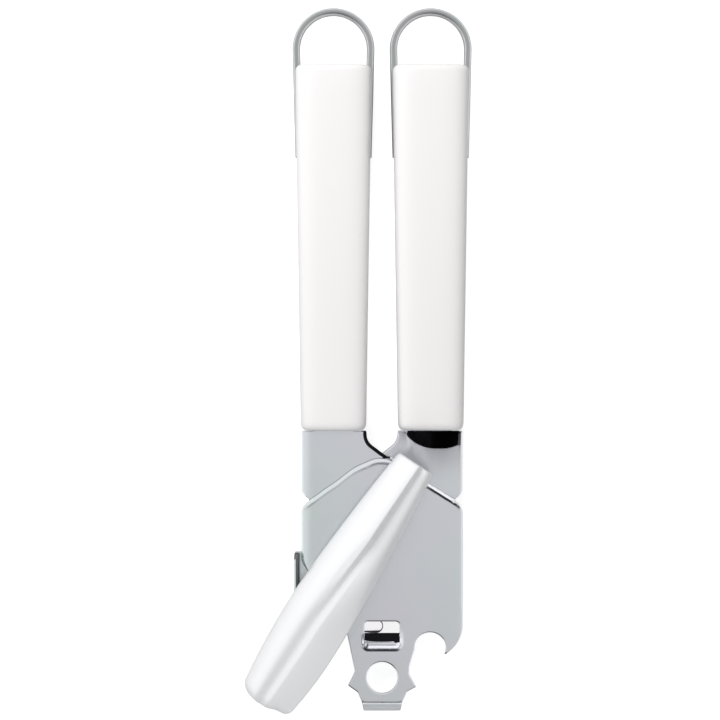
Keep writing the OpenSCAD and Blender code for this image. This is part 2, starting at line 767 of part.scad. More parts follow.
key_ends = concat(
    [[-key_upper_l, 0.9], [-key_upper_l + 0.3, 0.35], [-key_upper_l + 1, 0]],
    [for (i = [1:16]) [-key_upper_l + 1 + (key_upper_l + key_lower_l - 4) * i / 17, 0]],
    [[key_lower_l - 3, 0], [key_lower_l - 1.5, 0.4], [key_lower_l - 0.5, 1.1], [key_lower_l, 2.2]]
);

module turning_key() {
    color(white) at(spindle) rotate(key_dir) difference() {
        union() {
            translate([0, 0, key_z]) loft(
                [for (e = key_ends) key_ring(e[0], e[1])],
                [-key_upper_l, key_valley(-key_upper_l), key_end_h / 4],
                [key_lower_l, key_valley(key_lower_l), key_end_h / 4]
            );
            disc(key_hub_d / 2, hub_z, key_z + 3);
        }
        disc(insert_d / 2, hub_z - 1, insert_top_z);
    }
}

square_fit = 0.05;

module square_bar(side, z0, z1) {
    translate([-side / 2, -side / 2, z0]) cube([side, side, z1 - z0]);
}

module key_insert() {
    color(dull_steel) at(spindle) rotate(key_dir) difference() {
        disc(insert_d / 2, hub_z, insert_top_z);
        square_bar(key_square + 2 * square_fit, hub_z - 1, insert_top_z - 1);
    }
}

// ---------- spindle and feed wheel ----------

peen_t = 0.4;
retainer_t = 0.35;
retainer_r = 2.9;
recess_t = peen_t + retainer_t;
neck_r = feed_square / 2;

module key_spindle() {
    color(steel) at(spindle) rotate(key_dir) {
        disc(neck_r + 0.5, feed_z, feed_z + peen_t);
        disc(neck_r, feed_z + peen_t - eps, feed_z + recess_t + eps);
        square_bar(feed_square, feed_z + recess_t, feed_top_z);
        disc(spindle_d / 2, feed_top_z, hub_z);
        square_bar(key_square, hub_z, insert_top_z - 1.3);
    }
}

module spindle_bush() {
    low = feed_top_z + 2 * seat + thrust_t;
    flange_z = plate_z - bush_flange_t;
    color(dull_steel) at(spindle) difference() {
        union() {
            disc(bush_d / 2, low, plate_front_z + bush_proud);
            disc(bush_flange_d / 2, flange_z, plate_z);
            disc(bush_d / 2 + 0.6, plate_front_z, plate_front_z + bush_proud - 0.4);
        }
        disc(spindle_d / 2 + run_fit, low - 1, plate_front_z + bush_proud + 1);
    }
}

thrust_t = 0.7;

module thrust_washer() {
    color(dull_steel) at(spindle)
        ring(bush_d / 2 + 0.3, spindle_d / 2 + run_fit, feed_top_z, feed_top_z + thrust_t);
}

module feed_wheel() {
    r = feed_d / 2;
    step = 360 / feed_teeth;
    color(dull_steel) at(spindle) rotate(key_dir) difference() {
        translate([0, 0, feed_z]) linear_extrude(feed_t) polygon([for (i = [0:feed_teeth - 1])
            each [
                polar([0, 0], r - tooth_h, step * i), polar([0, 0], r, step * (i + 0.4)),
                polar([0, 0], r, step * (i + 0.6))
            ]]);
        disc(retainer_r + 0.1, feed_z - 1, feed_z + recess_t);
        square_bar(feed_square + 2 * square_fit, feed_z, feed_top_z + 1);
    }
}

module feed_wheel_washer() {
    color(steel) at(spindle)
        ring(retainer_r, neck_r + square_fit, feed_z + peen_t, feed_z + recess_t);
}

// ---------- cutting wheel ----------

axle_shank_r = 1.6;
axle_flare = 0.8;

module axle_countersink() {
    translate([0, 0, rear_front_z - axle_flare])
        cylinder(r1 = axle_shank_r, r2 = axle_shank_r + axle_flare, h = axle_flare);
}

module cutter_axle() {
    color(steel) at(cutter) {
        rotate_extrude() polygon([
            [0, 0], [axle_head_d / 2 - 0.4, 0], [axle_head_d / 2, 0.4], [axle_head_d / 2, axle_head_t],
            [axle_d / 2, axle_head_t], [axle_d / 2, rear_z], [axle_shank_r, rear_z],
            [axle_shank_r, rear_front_z - axle_flare], [axle_shank_r + axle_flare, rear_front_z],
            [0, rear_front_z]
        ]);
    }
}

module cutter_spacer() {
    color(dull_steel) at(cutter) ring(collar_d / 2, axle_d / 2 + run_fit, cutter_top_z + seat, rear_z);
}

module cutter_wheel() {
    r = cutter_d / 2;
    color(steel) at(cutter) rotate_extrude() polygon([
        [axle_d / 2 + run_fit, cutter_z], [r - 1.4, cutter_z], [r, cutter_top_z - 0.1],
        [r, cutter_top_z], [axle_d / 2 + run_fit, cutter_top_z]
    ]);
}

front_lever();
rear_lever();
pivot_rivet();
pivot_spacer();
pivot_washer();
left_handle_sleeve();
left_handle_core();
left_tang_pins();
left_hanging_loop();
right_handle_sleeve();
right_handle_core();
right_tang_pins();
right_hanging_loop();
turning_key();
key_insert();
key_spindle();
spindle_bush();
thrust_washer();
feed_wheel();
feed_wheel_washer();
cutter_wheel();
cutter_axle();
cutter_spacer();
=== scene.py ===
"""Looks for a manual can opener: pressed steel levers, moulded grips and key, turned fittings."""

import json
import logging
import math
from dataclasses import dataclass, field
from enum import Enum
from typing import Callable, Iterable, Sequence

import bmesh
import bpy
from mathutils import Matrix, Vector, geometry

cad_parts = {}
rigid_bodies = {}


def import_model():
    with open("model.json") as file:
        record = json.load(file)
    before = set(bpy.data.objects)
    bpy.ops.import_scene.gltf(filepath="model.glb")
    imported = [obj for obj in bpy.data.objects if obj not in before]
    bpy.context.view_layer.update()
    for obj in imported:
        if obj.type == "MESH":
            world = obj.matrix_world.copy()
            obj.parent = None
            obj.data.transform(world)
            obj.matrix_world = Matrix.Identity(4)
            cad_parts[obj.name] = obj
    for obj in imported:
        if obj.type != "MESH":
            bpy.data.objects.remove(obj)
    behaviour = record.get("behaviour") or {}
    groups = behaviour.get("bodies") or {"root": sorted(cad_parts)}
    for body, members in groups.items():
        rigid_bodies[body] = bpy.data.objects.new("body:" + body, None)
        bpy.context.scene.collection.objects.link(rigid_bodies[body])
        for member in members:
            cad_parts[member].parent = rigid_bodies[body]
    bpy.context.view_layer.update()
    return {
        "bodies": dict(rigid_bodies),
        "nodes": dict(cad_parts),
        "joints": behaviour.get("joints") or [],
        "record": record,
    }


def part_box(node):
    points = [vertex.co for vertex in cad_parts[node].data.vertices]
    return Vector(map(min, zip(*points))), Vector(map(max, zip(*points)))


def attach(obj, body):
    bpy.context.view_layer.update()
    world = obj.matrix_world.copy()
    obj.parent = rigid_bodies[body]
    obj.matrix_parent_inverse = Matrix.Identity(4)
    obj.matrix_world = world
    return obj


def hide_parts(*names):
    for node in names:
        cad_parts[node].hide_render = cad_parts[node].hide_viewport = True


LOG = logging.getLogger("can_opener")
MM = 0.001
Point = tuple[float, float]
Loop = list[Point]


# ---------------------------------------------------------------- geometry helpers

def arc(centre: Point, radius: float, start: float, end: float, count: int = 24) -> Loop:
    """Points on an arc.

    Args:
        centre: Middle of the arc.
        radius: Its radius.
        start: First direction in degrees.
        end: Last direction in degrees.
        count: Number of stretches.

    Returns:
        The points from start to end.
    """
    steps = [math.radians(start + (end - start) * i / count) for i in range(count + 1)]
    return [(centre[0] + radius * math.cos(a), centre[1] + radius * math.sin(a)) for a in steps]


def rounded(corners: Sequence[tuple[float, float, float]], count: int = 8) -> Loop:
    """An open run of corners, each rounded to its own radius; the first and last are kept.

    Args:
        corners: x, y and radius of each corner.
        count: Stretches in each rounding.

    Returns:
        The rounded run.
    """
    out: Loop = [corners[0][:2]]
    for a, b, c in zip(corners, corners[1:], corners[2:]):
        p, radius = Vector(b[:2]), b[2]
        u, v = (Vector(a[:2]) - p).normalized(), (Vector(c[:2]) - p).normalized()
        half = math.acos(max(-1.0, min(1.0, u.dot(v)))) / 2
        if radius <= 0 or half > 1.55:
            out.append(b[:2])
            continue
        middle = p + (u + v).normalized() * radius / math.sin(half)
        s = p + u * radius / math.tan(half) - middle
        e = p + v * radius / math.tan(half) - middle
        start = math.atan2(s.y, s.x)
        sweep = (math.atan2(e.y, e.x) - start + math.pi) % (2 * math.pi) - math.pi
        for i in range(count + 1):
            a_ = start + sweep * i / count
            out.append((middle.x + radius * math.cos(a_), middle.y + radius * math.sin(a_)))
    out.append(corners[-1][:2])
    return out


def evened(loop: Loop, step: float) -> Loop:
    """The closed loop with long stretches cut shorter than step and doubled points dropped.

    Args:
        loop: The loop.
        step: Longest stretch that stays.

    Returns:
        The evened loop.
    """
    clean: Loop = []
    for p in loop:
        if not clean or math.dist(p, clean[-1]) > 0.02:
            clean.append(p)
    if math.dist(clean[0], clean[-1]) < 0.02:
        clean.pop()
    out: Loop = []
    for a, b in zip(clean, clean[1:] + clean[:1]):
        n = max(1, math.ceil(math.dist(a, b) / step))
        out += [(a[0] + (b[0] - a[0]) * i / n, a[1] + (b[1] - a[1]) * i / n) for i in range(n)]
    return out


def inward(loop: Loop) -> Loop:
    """The direction in which each point of a counter-clockwise loop moves inwards."""
    out: Loop = []
    for a, p, b in zip(loop[-1:] + loop[:-1], loop, loop[1:] + loop[:1]):
        u = Vector((p[0] - a[0], p[1] - a[1])).normalized()
        v = Vector((b[0] - p[0], b[1] - p[1])).normalized()
        way = Vector((-(u.y + v.y), u.x + v.x))
        reach = max(0.6, math.sqrt((1 + u.dot(v)) / 2))
        way = way.normalized() / reach if way.length else Vector((-u.y, u.x))
        out.append((way.x, way.y))
    return out


def turned(loop: Loop, outer: bool) -> Loop:
    """The loop counter-clockwise for an outer edge, clockwise for a hole."""
    area = sum(a[0] * b[1] - b[0] * a[1] for a, b in zip(loop, loop[1:] + loop[:1]))
    return loop if (area > 0) == outer else loop[::-1]


def inside(p: Point, loop: Loop) -> bool:
    """Whether p is inside the closed loop.

    Args:
        p: The place.
        loop: The loop.

    Returns:
        True where it is.
    """
    hit = False
    x, y = p
    for (ax, ay), (bx, by) in zip(loop, loop[1:] + loop[:1]):
        if (ay > y) != (by > y) and x < (bx - ax) * (y - ay) / (by - ay) + ax:
            hit = not hit
    return hit


def ease(t: float) -> float:
    """A smooth rise from 0 to 1."""
    t = max(0.0, min(1.0, t))
    return t * t * (3 - 2 * t)


def window(v: float, low: float, high: float, soft: float = 1.5) -> float:
    """1 between low and high, falling softly to 0 outside."""
    return ease((v - low) / soft) * ease((high - v) / soft)


def along(v: float, points: Sequence[Point]) -> float:
    """The value at v of a run of straight stretches, level beyond its ends."""
    for (a, p), (b, q) in zip(points, points[1:]):
        if v < b:
            return p + (q - p) * max(0.0, (v - a) / (b - a))
    return points[-1][1]


def made(name: str, verts: Iterable[Sequence[float]], faces: Sequence[Sequence[int]],
         crease: float = 40.0) -> bpy.types.Object:
    """A new object from millimetre points.

    Args:
        name: The piece's name.
        verts: Points in millimetres in the row frame.
        faces: Point numbers of each face.
        crease: Edges sharper than this many degrees stay sharp.

    Returns:
        The linked object, smooth-shaded.
    """
    mesh = bpy.data.meshes.new(name)
    mesh.from_pydata([[c * MM for c in v] for v in verts], [], faces)
    work = bmesh.new()
    work.from_mesh(mesh)
    bmesh.ops.remove_doubles(work, verts=work.verts, dist=1e-6)
    bmesh.ops.recalc_face_normals(work, faces=work.faces)
    work.to_mesh(mesh)
    work.free()
    mesh.shade_smooth()
    mesh.set_sharp_from_angle(angle=math.radians(crease))
    obj = bpy.data.objects.new(name, mesh)
    bpy.context.scene.collection.objects.link(obj)
    return obj


def loft(name: str, rings: Sequence[Sequence[Sequence[float]]], crease: float = 40.0) -> bpy.types.Object:
    """A closed skin over rings of equally many points, each end filled by a fan.

    Args:
        name: The piece's name.
        rings: The rings in order, in millimetres.
        crease: Edges sharper than this many degrees stay sharp.

    Returns:
        The object.
    """
    count = len(rings[0])
    verts = [p for ring in rings for p in ring]
    faces = [(r * count + i, r * count + (i + 1) % count,
              (r + 1) * count + (i + 1) % count, (r + 1) * count + i)
             for r in range(len(rings) - 1) for i in range(count)]
    for ring, base in ((rings[0], 0), (rings[-1], (len(rings) - 1) * count)):
        verts.append([sum(p[k] for p in ring) / count for k in range(3)])
        faces += [(len(verts) - 1, base + i, base + (i + 1) % count) for i in range(count)]
    return made(name, verts, faces, crease)


def dressed(obj: bpy.types.Object, material: bpy.types.Material) -> bpy.types.Object:
    """The object with that one material on all its faces."""
    if obj.material_slots:
        for place in obj.material_slots:
            place.material = material
    else:
        obj.data.materials.append(material)
    return obj


# ---------------------------------------------------------------- finishes

class Coords(Enum):
    """How a pattern's grain runs."""

    EVEN = (1.0, 1.0, 1.0)
    ALONG_Y = (14.0, 1.0, 14.0)
    ALONG_X = (1.0, 14.0, 14.0)


class Nodes:
    """A node tree, with short calls for the nodes that finishes and studio share."""

    def __init__(self, tree: bpy.types.NodeTree) -> None:
        """Works on that tree."""
        self.tree = tree

    def add(self, kind: str, **values: object) -> bpy.types.Node:
        """A new node of that kind with its properties set."""
        node = self.tree.nodes.new(kind)
        for key, value in values.items():
            setattr(node, key, value)
        return node

    def link(self, start: bpy.types.NodeSocket, end: bpy.types.NodeSocket) -> None:
        """Joins two sockets."""
        self.tree.links.new(start, end)

    def maths(self, kind: str, *terms: object) -> bpy.types.NodeSocket:
        """The result of a Math node on sockets and numbers."""
        node = self.add("ShaderNodeMath", operation=kind)
        for place, term in zip(node.inputs, terms):
            if isinstance(term, (int, float)):
                place.default_value = term
            else:
                self.link(term, place)
        return node.outputs[0]

    def plus(self, a: object, b: object) -> bpy.types.NodeSocket:
        """a + b."""
        return self.maths("ADD", a, b)

    def minus(self, a: object, b: object) -> bpy.types.NodeSocket:
        """a - b."""
        return self.maths("SUBTRACT", a, b)

    def times(self, a: object, b: object) -> bpy.types.NodeSocket:
        """a * b."""
        return self.maths("MULTIPLY", a, b)

    def most(self, a: object, b: object) -> bpy.types.NodeSocket:
        """The greater of a and b."""
        return self.maths("MAXIMUM", a, b)

    def rise(self, source: bpy.types.NodeSocket, low: float, high: float) -> bpy.types.NodeSocket:
        """A smooth rise from 0 at low to 1 at high.

        Args:
            source: The value.
            low: Where the rise starts.
            high: Where it ends.

        Returns:
            The risen value.
        """
        node = self.add("ShaderNodeMapRange", interpolation_type="SMOOTHSTEP")
        node.inputs["From Min"].default_value, node.inputs["From Max"].default_value = low, high
        self.link(source, node.inputs["Value"])
        return node.outputs["Result"]


class Recipe(Nodes):
    """A material's node tree, built round one Principled shader."""

    def __init__(self, name: str) -> None:
        """Starts a material of that name."""
        self.material = bpy.data.materials.new(name)
        self.material.use_nodes = True
        super().__init__(self.material.node_tree)
        self.shader = next(n for n in self.tree.nodes if n.type == "BSDF_PRINCIPLED")
        self.place = self.add("ShaderNodeTexCoord")

    def put(self, **values: object) -> None:
        """Sets uniform values on the shader's own sockets, named with _ for spaces."""
        for key, value in values.items():
            self.shader.inputs[key.replace("_", " ")].default_value = value

    def mapped(self, run: Coords, shift: Sequence[float] = (0, 0, 0)) -> bpy.types.NodeSocket:
        """Object coordinates stretched along a run, measured from shift in metres.

        Args:
            run: How the grain runs.
            shift: Where they start.

        Returns:
            The coordinates.
        """
        mapping = self.add("ShaderNodeMapping")
        mapping.inputs["Location"].default_value = [-s * k for s, k in zip(shift, run.value)]
        mapping.inputs["Scale"].default_value = run.value
        self.link(self.place.outputs["Object"], mapping.inputs["Vector"])
        return mapping.outputs["Vector"]

    def noise(self, scale: float, detail: float = 3.0, run: Coords = Coords.EVEN) -> bpy.types.NodeSocket:
        """A noise of about scale per metre.

        Args:
            scale: Its scale.
            detail: Its octaves.
            run: How its grain runs.

        Returns:
            The noise.
        """
        node = self.add("ShaderNodeTexNoise")
        node.inputs["Scale"].default_value = scale
        node.inputs["Detail"].default_value = detail
        self.link(self.mapped(run), node.inputs["Vector"])
        return node.outputs["Fac"]

    def ramp(self, source: bpy.types.NodeSocket,
             stops: Sequence[tuple[float, Sequence[float]]]) -> bpy.types.NodeSocket:
        """Colours picked by a value.

        Args:
            source: The value.
            stops: Place and colour of each stop.

        Returns:
            The colour.
        """
        node = self.add("ShaderNodeValToRGB")
        band = node.color_ramp
        while len(band.elements) < len(stops):
            band.elements.new(0.5)
        for element, (at, colour) in zip(band.elements, stops):
            element.position = at
            element.color = (*colour, 1.0)
        self.link(source, node.inputs["Fac"])
        return node.outputs["Color"]

    def span(self, source: bpy.types.NodeSocket, low: float, high: float) -> bpy.types.NodeSocket:
        """A value of 0.3 to 0.7 stretched to low to high.

        Args:
            source: The value.
            low: The least result.
            high: The greatest.

        Returns:
            The stretched value.
        """
        node = self.add("ShaderNodeMapRange")
        for key, value in (("From Min", 0.3), ("From Max", 0.7), ("To Min", low), ("To Max", high)):
            node.inputs[key].default_value = value
        self.link(source, node.inputs["Value"])
        return node.outputs["Result"]

    def bump(self, source: bpy.types.NodeSocket, strength: float, depth: float) -> None:
        """Raises the surface by a value, on top of what is there.

        Args:
            source: The value.
            strength: Share of the effect.
            depth: Its height in metres.
        """
        node = self.add("ShaderNodeBump")
        node.inputs["Strength"].default_value = strength
        node.inputs["Distance"].default_value = depth
        self.link(source, node.inputs["Height"])
        normal = self.shader.inputs["Normal"]
        if normal.is_linked:
            self.link(normal.links[0].from_socket, node.inputs["Normal"])
        self.link(node.outputs["Normal"], normal)


@dataclass(frozen=True)
class MouldedPlastic:
    """Polished moulded plastic with faint flow marks.

    Attributes:
        name: Material name.
        tone: Its colour.
        roughness: Its mean roughness.
        coat: Weight of its clear gloss.
    """

    name: str
    tone: tuple[float, float, float]
    roughness: float = 0.36
    coat: float = 0.12

    def build(self) -> bpy.types.Material:
        """The material."""
        r = Recipe(self.name)
        shade = tuple(c * 0.985 for c in self.tone)
        r.link(r.ramp(r.noise(18, 1), [(0.2, shade), (0.8, self.tone)]), r.shader.inputs["Base Color"])
        low, high = self.roughness * 0.94, self.roughness * 1.06
        r.link(r.span(r.noise(300, 3), low, high), r.shader.inputs["Roughness"])
        r.put(Coat_Weight=self.coat, Coat_Roughness=0.1, IOR=1.49)
        r.bump(r.noise(1800, 2), 0.1, 0.000002)
        return r.material


@dataclass(frozen=True)
class RolledSheet:
    """Satin stainless sheet, with rolling grain, faint tints and a slight waviness.

    Attributes:
        name: Material name.
        tone: Its mean colour.
        roughness: Its mean roughness.
        grain: How the rolling grain runs.
        grit: Strength of the grain.
    """

    name: str
    tone: tuple[float, float, float]
    roughness: float = 0.24
    grain: Coords = Coords.ALONG_Y
    grit: float = 0.06

    def build(self) -> bpy.types.Material:
        """The material."""
        r = Recipe(self.name)
        t = self.tone
        green, pink = (t[0] * 0.96, t[1] * 1.01, t[2] * 0.97), (t[0] * 1.02, t[1] * 0.975, t[2] * 1.02)
        stops = [(0.3, green), (0.5, t), (0.7, pink)]
        r.link(r.ramp(r.noise(26, 2), stops), r.shader.inputs["Base Color"])
        fine = r.noise(420, 6, self.grain)
        r.link(r.span(fine, self.roughness * 0.92, self.roughness * 1.1), r.shader.inputs["Roughness"])
        r.put(Metallic=1.0, Specular_Tint=(0.6, 0.6, 0.6, 1.0))
        r.bump(fine, self.grit, 0.00001)
        r.bump(r.noise(60, 1), 0.05, 0.0001)
        return r.material


@dataclass(frozen=True)
class TurnedSteel:
    """Lathe-turned steel with fine rings round its axis.

    Attributes:
        name: Material name.
        tone: Its colour.
        axis: A point on the axis, in metres.
        roughness: Its mean roughness.
    """

    name: str
    tone: tuple[float, float, float]
    axis: tuple[float, float, float]
    roughness: float = 0.26

    def build(self) -> bpy.types.Material:
        """The material."""
        r = Recipe(self.name)
        wave = r.add("ShaderNodeTexWave", wave_type="RINGS", rings_direction="Z")
        wave.inputs["Scale"].default_value = 1400
        wave.inputs["Distortion"].default_value = 0.6
        r.link(r.mapped(Coords.EVEN, self.axis), wave.inputs["Vector"])
        dull = tuple(c * 0.86 for c in self.tone)
        r.link(r.ramp(r.noise(320, 4), [(0.3, dull), (0.7, self.tone)]), r.shader.inputs["Base Color"])
        low, high = self.roughness * 0.8, self.roughness * 1.3
        r.link(r.span(r.noise(700, 3), low, high), r.shader.inputs["Roughness"])
        r.put(Metallic=1.0)
        r.bump(wave.outputs["Fac"], 0.18, 0.00002)
        return r.material


# ---------------------------------------------------------------- the opener's own sizes, in millimetres

@dataclass(frozen=True)
class Plan:
    """Places and sizes that the pieces share; x is about the plates' centreline, which cx places."""

    cx: float
    mouth: float = -21.0
    tip: float = -104.9
    handle_x: float = 14.5
    handle_l: float = 108.8
    handle_t: float = 14.5
    half_w: float = 24.0
    tang_half: float = 6.0
    tang_l: float = 67.0
    sheet: float = 1.5
    tang_z: float = 6.5
    plate_z: float = 8.5
    rear_z: float = 4.7
    roof_half: float = 2.2
    roof_slope: float = 32.0
    pivot: Point = (0.0, -42.7)
    spindle: Point = (-11.1134, -64.8929)
    cutter: Point = (-18.1137, -57.8926)
    key_z: float = 16.5

    @property
    def roof(self) -> float:
        """Height of the roof's flat top."""
        return self.mouth - 8.9

    @property
    def notch(self) -> float:
        """Height of the side notches."""
        return self.mouth - 19.2

    @property
    def shoulder(self) -> float:
        """Height of the plates' upper edges."""
        return self.mouth - 0.2

    @property
    def throat(self) -> float:
        """Where the plates' inner edges turn towards the pivot."""
        return self.shoulder - 3.3

    def beyond_roof(self, x: float, y: float) -> float:
        """Distance of a place outside the roof line, whose left side is a little bowed.

        Args:
            x: Place across.
            y: Place along.

        Returns:
            The distance, negative within the roof.
        """
        s = math.radians(self.roof_slope)
        up, out = y - self.roof, (y - self.roof) * math.cos(s) + (abs(x) - self.roof_half) * math.sin(s)
        n = (up + out + math.hypot(up - out, 0.7)) / 2
        return n - (0.7 * math.exp(-((x + 8.5) / 4) ** 2) - 0.35 * ease((-x - 16) / 5) if x < 0 else 0.0)


@dataclass
class PressedSheet:
    """A sheet-steel pressing: an outline with holes, pressed to a height, with rounded edges.

    Attributes:
        plan: Shared places.
        name: The piece's name.
        outer: Its outline, about the plates' centreline.
        holes: Its holes.
        height: Height of its front face at a place.
        fine: Whether the mesh is fine at a place.
        roll: Width of its rolled outer edge at a place.
        creases: Lines that the mesh follows.
        hole_edge: Width of its holes' rolled edges.
        dish: How far the front face alone falls away at a place.
    """

    plan: Plan
    name: str
    outer: Loop
    holes: list[Loop]
    height: Callable[[float, float], float]
    fine: Callable[[float, float], bool]
    roll: Callable[[float, float], float]
    creases: list[Loop] = field(default_factory=list)
    hole_edge: float = 0.32
    dish: Callable[[float, float], float] = lambda x, y: 0.0

    def build(self) -> bpy.types.Object:
        """The pressing as one closed mesh."""
        loops = [turned(evened(self.outer, 0.8), True)]
        loops += [turned(evened(h, 0.5), False) for h in self.holes]
        t = self.plan.sheet
        roll = [(1.0, 0.0), (0.76, 0.05), (0.55, 0.12), (0.36, 0.21), (0.2, 0.33), (0.09, 0.45), (0.02, 0.58),
                (0.0, 0.72)]
        profile = [(1.0, 0.0, 0.16, 0.0)] + [(d, drop, 0.0, 0.0) for d, drop in roll]
        profile += [(0.0, 0.0, 0.0, t - 0.35), (0.0, 0.0, 0.1, t - 0.1), (0.0, 0.0, 0.35, t)]
        verts: list[tuple[float, float, float]] = []
        faces: list[Sequence[int]] = []
        rings = []
        for loop in loops:
            base, n, ways, here = len(verts), len(loop), inward(loop), []
            wide = [self.roll(x, y) if loop is loops[0] else self.hole_edge for x, y in loop]
            for d, drop, more, fall in profile:
                here.append([(p[0] + w[0] * (d * e + more), p[1] + w[1] * (d * e + more))
                             for p, w, e in zip(loop, ways, wide)])
                verts += [(x, y, self.height(x, y) - drop * e - (fall or self.dish(x, y)))
                          for (x, y), e in zip(here[-1], wide)]
            rings.append(here)
            faces += [(base + k * n + i, base + k * n + (i + 1) % n, base + (k + 1) * n + (i + 1) % n,
                       base + (k + 1) * n + i) for k in range(len(profile) - 1) for i in range(n)]
        for drop, flip in ((0.0, False), (t, True)):
            points, triangles = self.filled([r[-1 if flip else 0] for r in rings])
            base = len(verts)
            verts += [(x, y, self.height(x, y) - (drop or self.dish(x, y))) for x, y in points]
            faces += [tuple(base + i for i in (tri[::-1] if flip else tri)) for tri in triangles]
        cx = self.plan.cx
        return made(self.name, [(x + cx, y, z) for x, y, z in verts], faces, 50.0)

    def filled(self, edges: list[Loop]) -> tuple[Loop, list[tuple[int, int, int]]]:
        """Triangles between the edges.

        Args:
            edges: The outer edge and then each hole's edge.

        Returns:
            The points, and the triangles between them.
        """
        points = [p for loop in edges for p in loop]
        lines, base = [], 0
        for loop in edges:
            lines += [(base + i, base + (i + 1) % len(loop)) for i in range(len(loop))]
            base += len(loop)
        xs, ys = [p[0] for p in edges[0]], [p[1] for p in edges[0]]
        step, coarse = 0.25, 9
        cells: dict[tuple[int, int], bool] = {}

        def within(p: Point) -> bool:
            """Whether a place is on the sheet."""
            return inside(p, edges[0]) and not any(inside(p, h) for h in edges[1:])

        for x, y in points:
            for i in (-1, 0, 1):
                for j in (-1, 0, 1):
                    cells[(round(x / step) + i, round(y / step) + j)] = True
        for crease in self.creases:
            last = None
            for x, y in crease:
                if (round(x / step), round(y / step)) in cells or not within((x, y)):
                    last = None
                    continue
                points.append((x, y))
                if last is not None:
                    lines.append((last, len(points) - 1))
                last = len(points) - 1
        for x, y in points[base:]:
            cells[(round(x / step), round(y / step))] = True
        for i in range(int(min(xs) / step), int(max(xs) / step) + 1):
            for j in range(int(min(ys) / step), int(max(ys) / step) + 1):
                x, y = i * step, j * step
                if (i, j) in cells or not (self.fine(x, y) or (i % coarse == 0 and j % coarse == 0)):
                    continue
                if within((x, y)):
                    points.append((x + 0.013 * math.sin(7 * j), y + 0.013 * math.sin(5 * i)))
        out, _, tris, *_ = geometry.delaunay_2d_cdt([Vector(p) for p in points], lines, [], 0, 1e-5)
        kept = []
        for a, b, c in tris:
            mid = (sum(out[k].x for k in (a, b, c)) / 3, sum(out[k].y for k in (a, b, c)) / 3)
            if within(mid):
                kept.append((a, b, c))
        return [(p.x, p.y) for p in out], kept


# ---------------------------------------------------------------- the levers

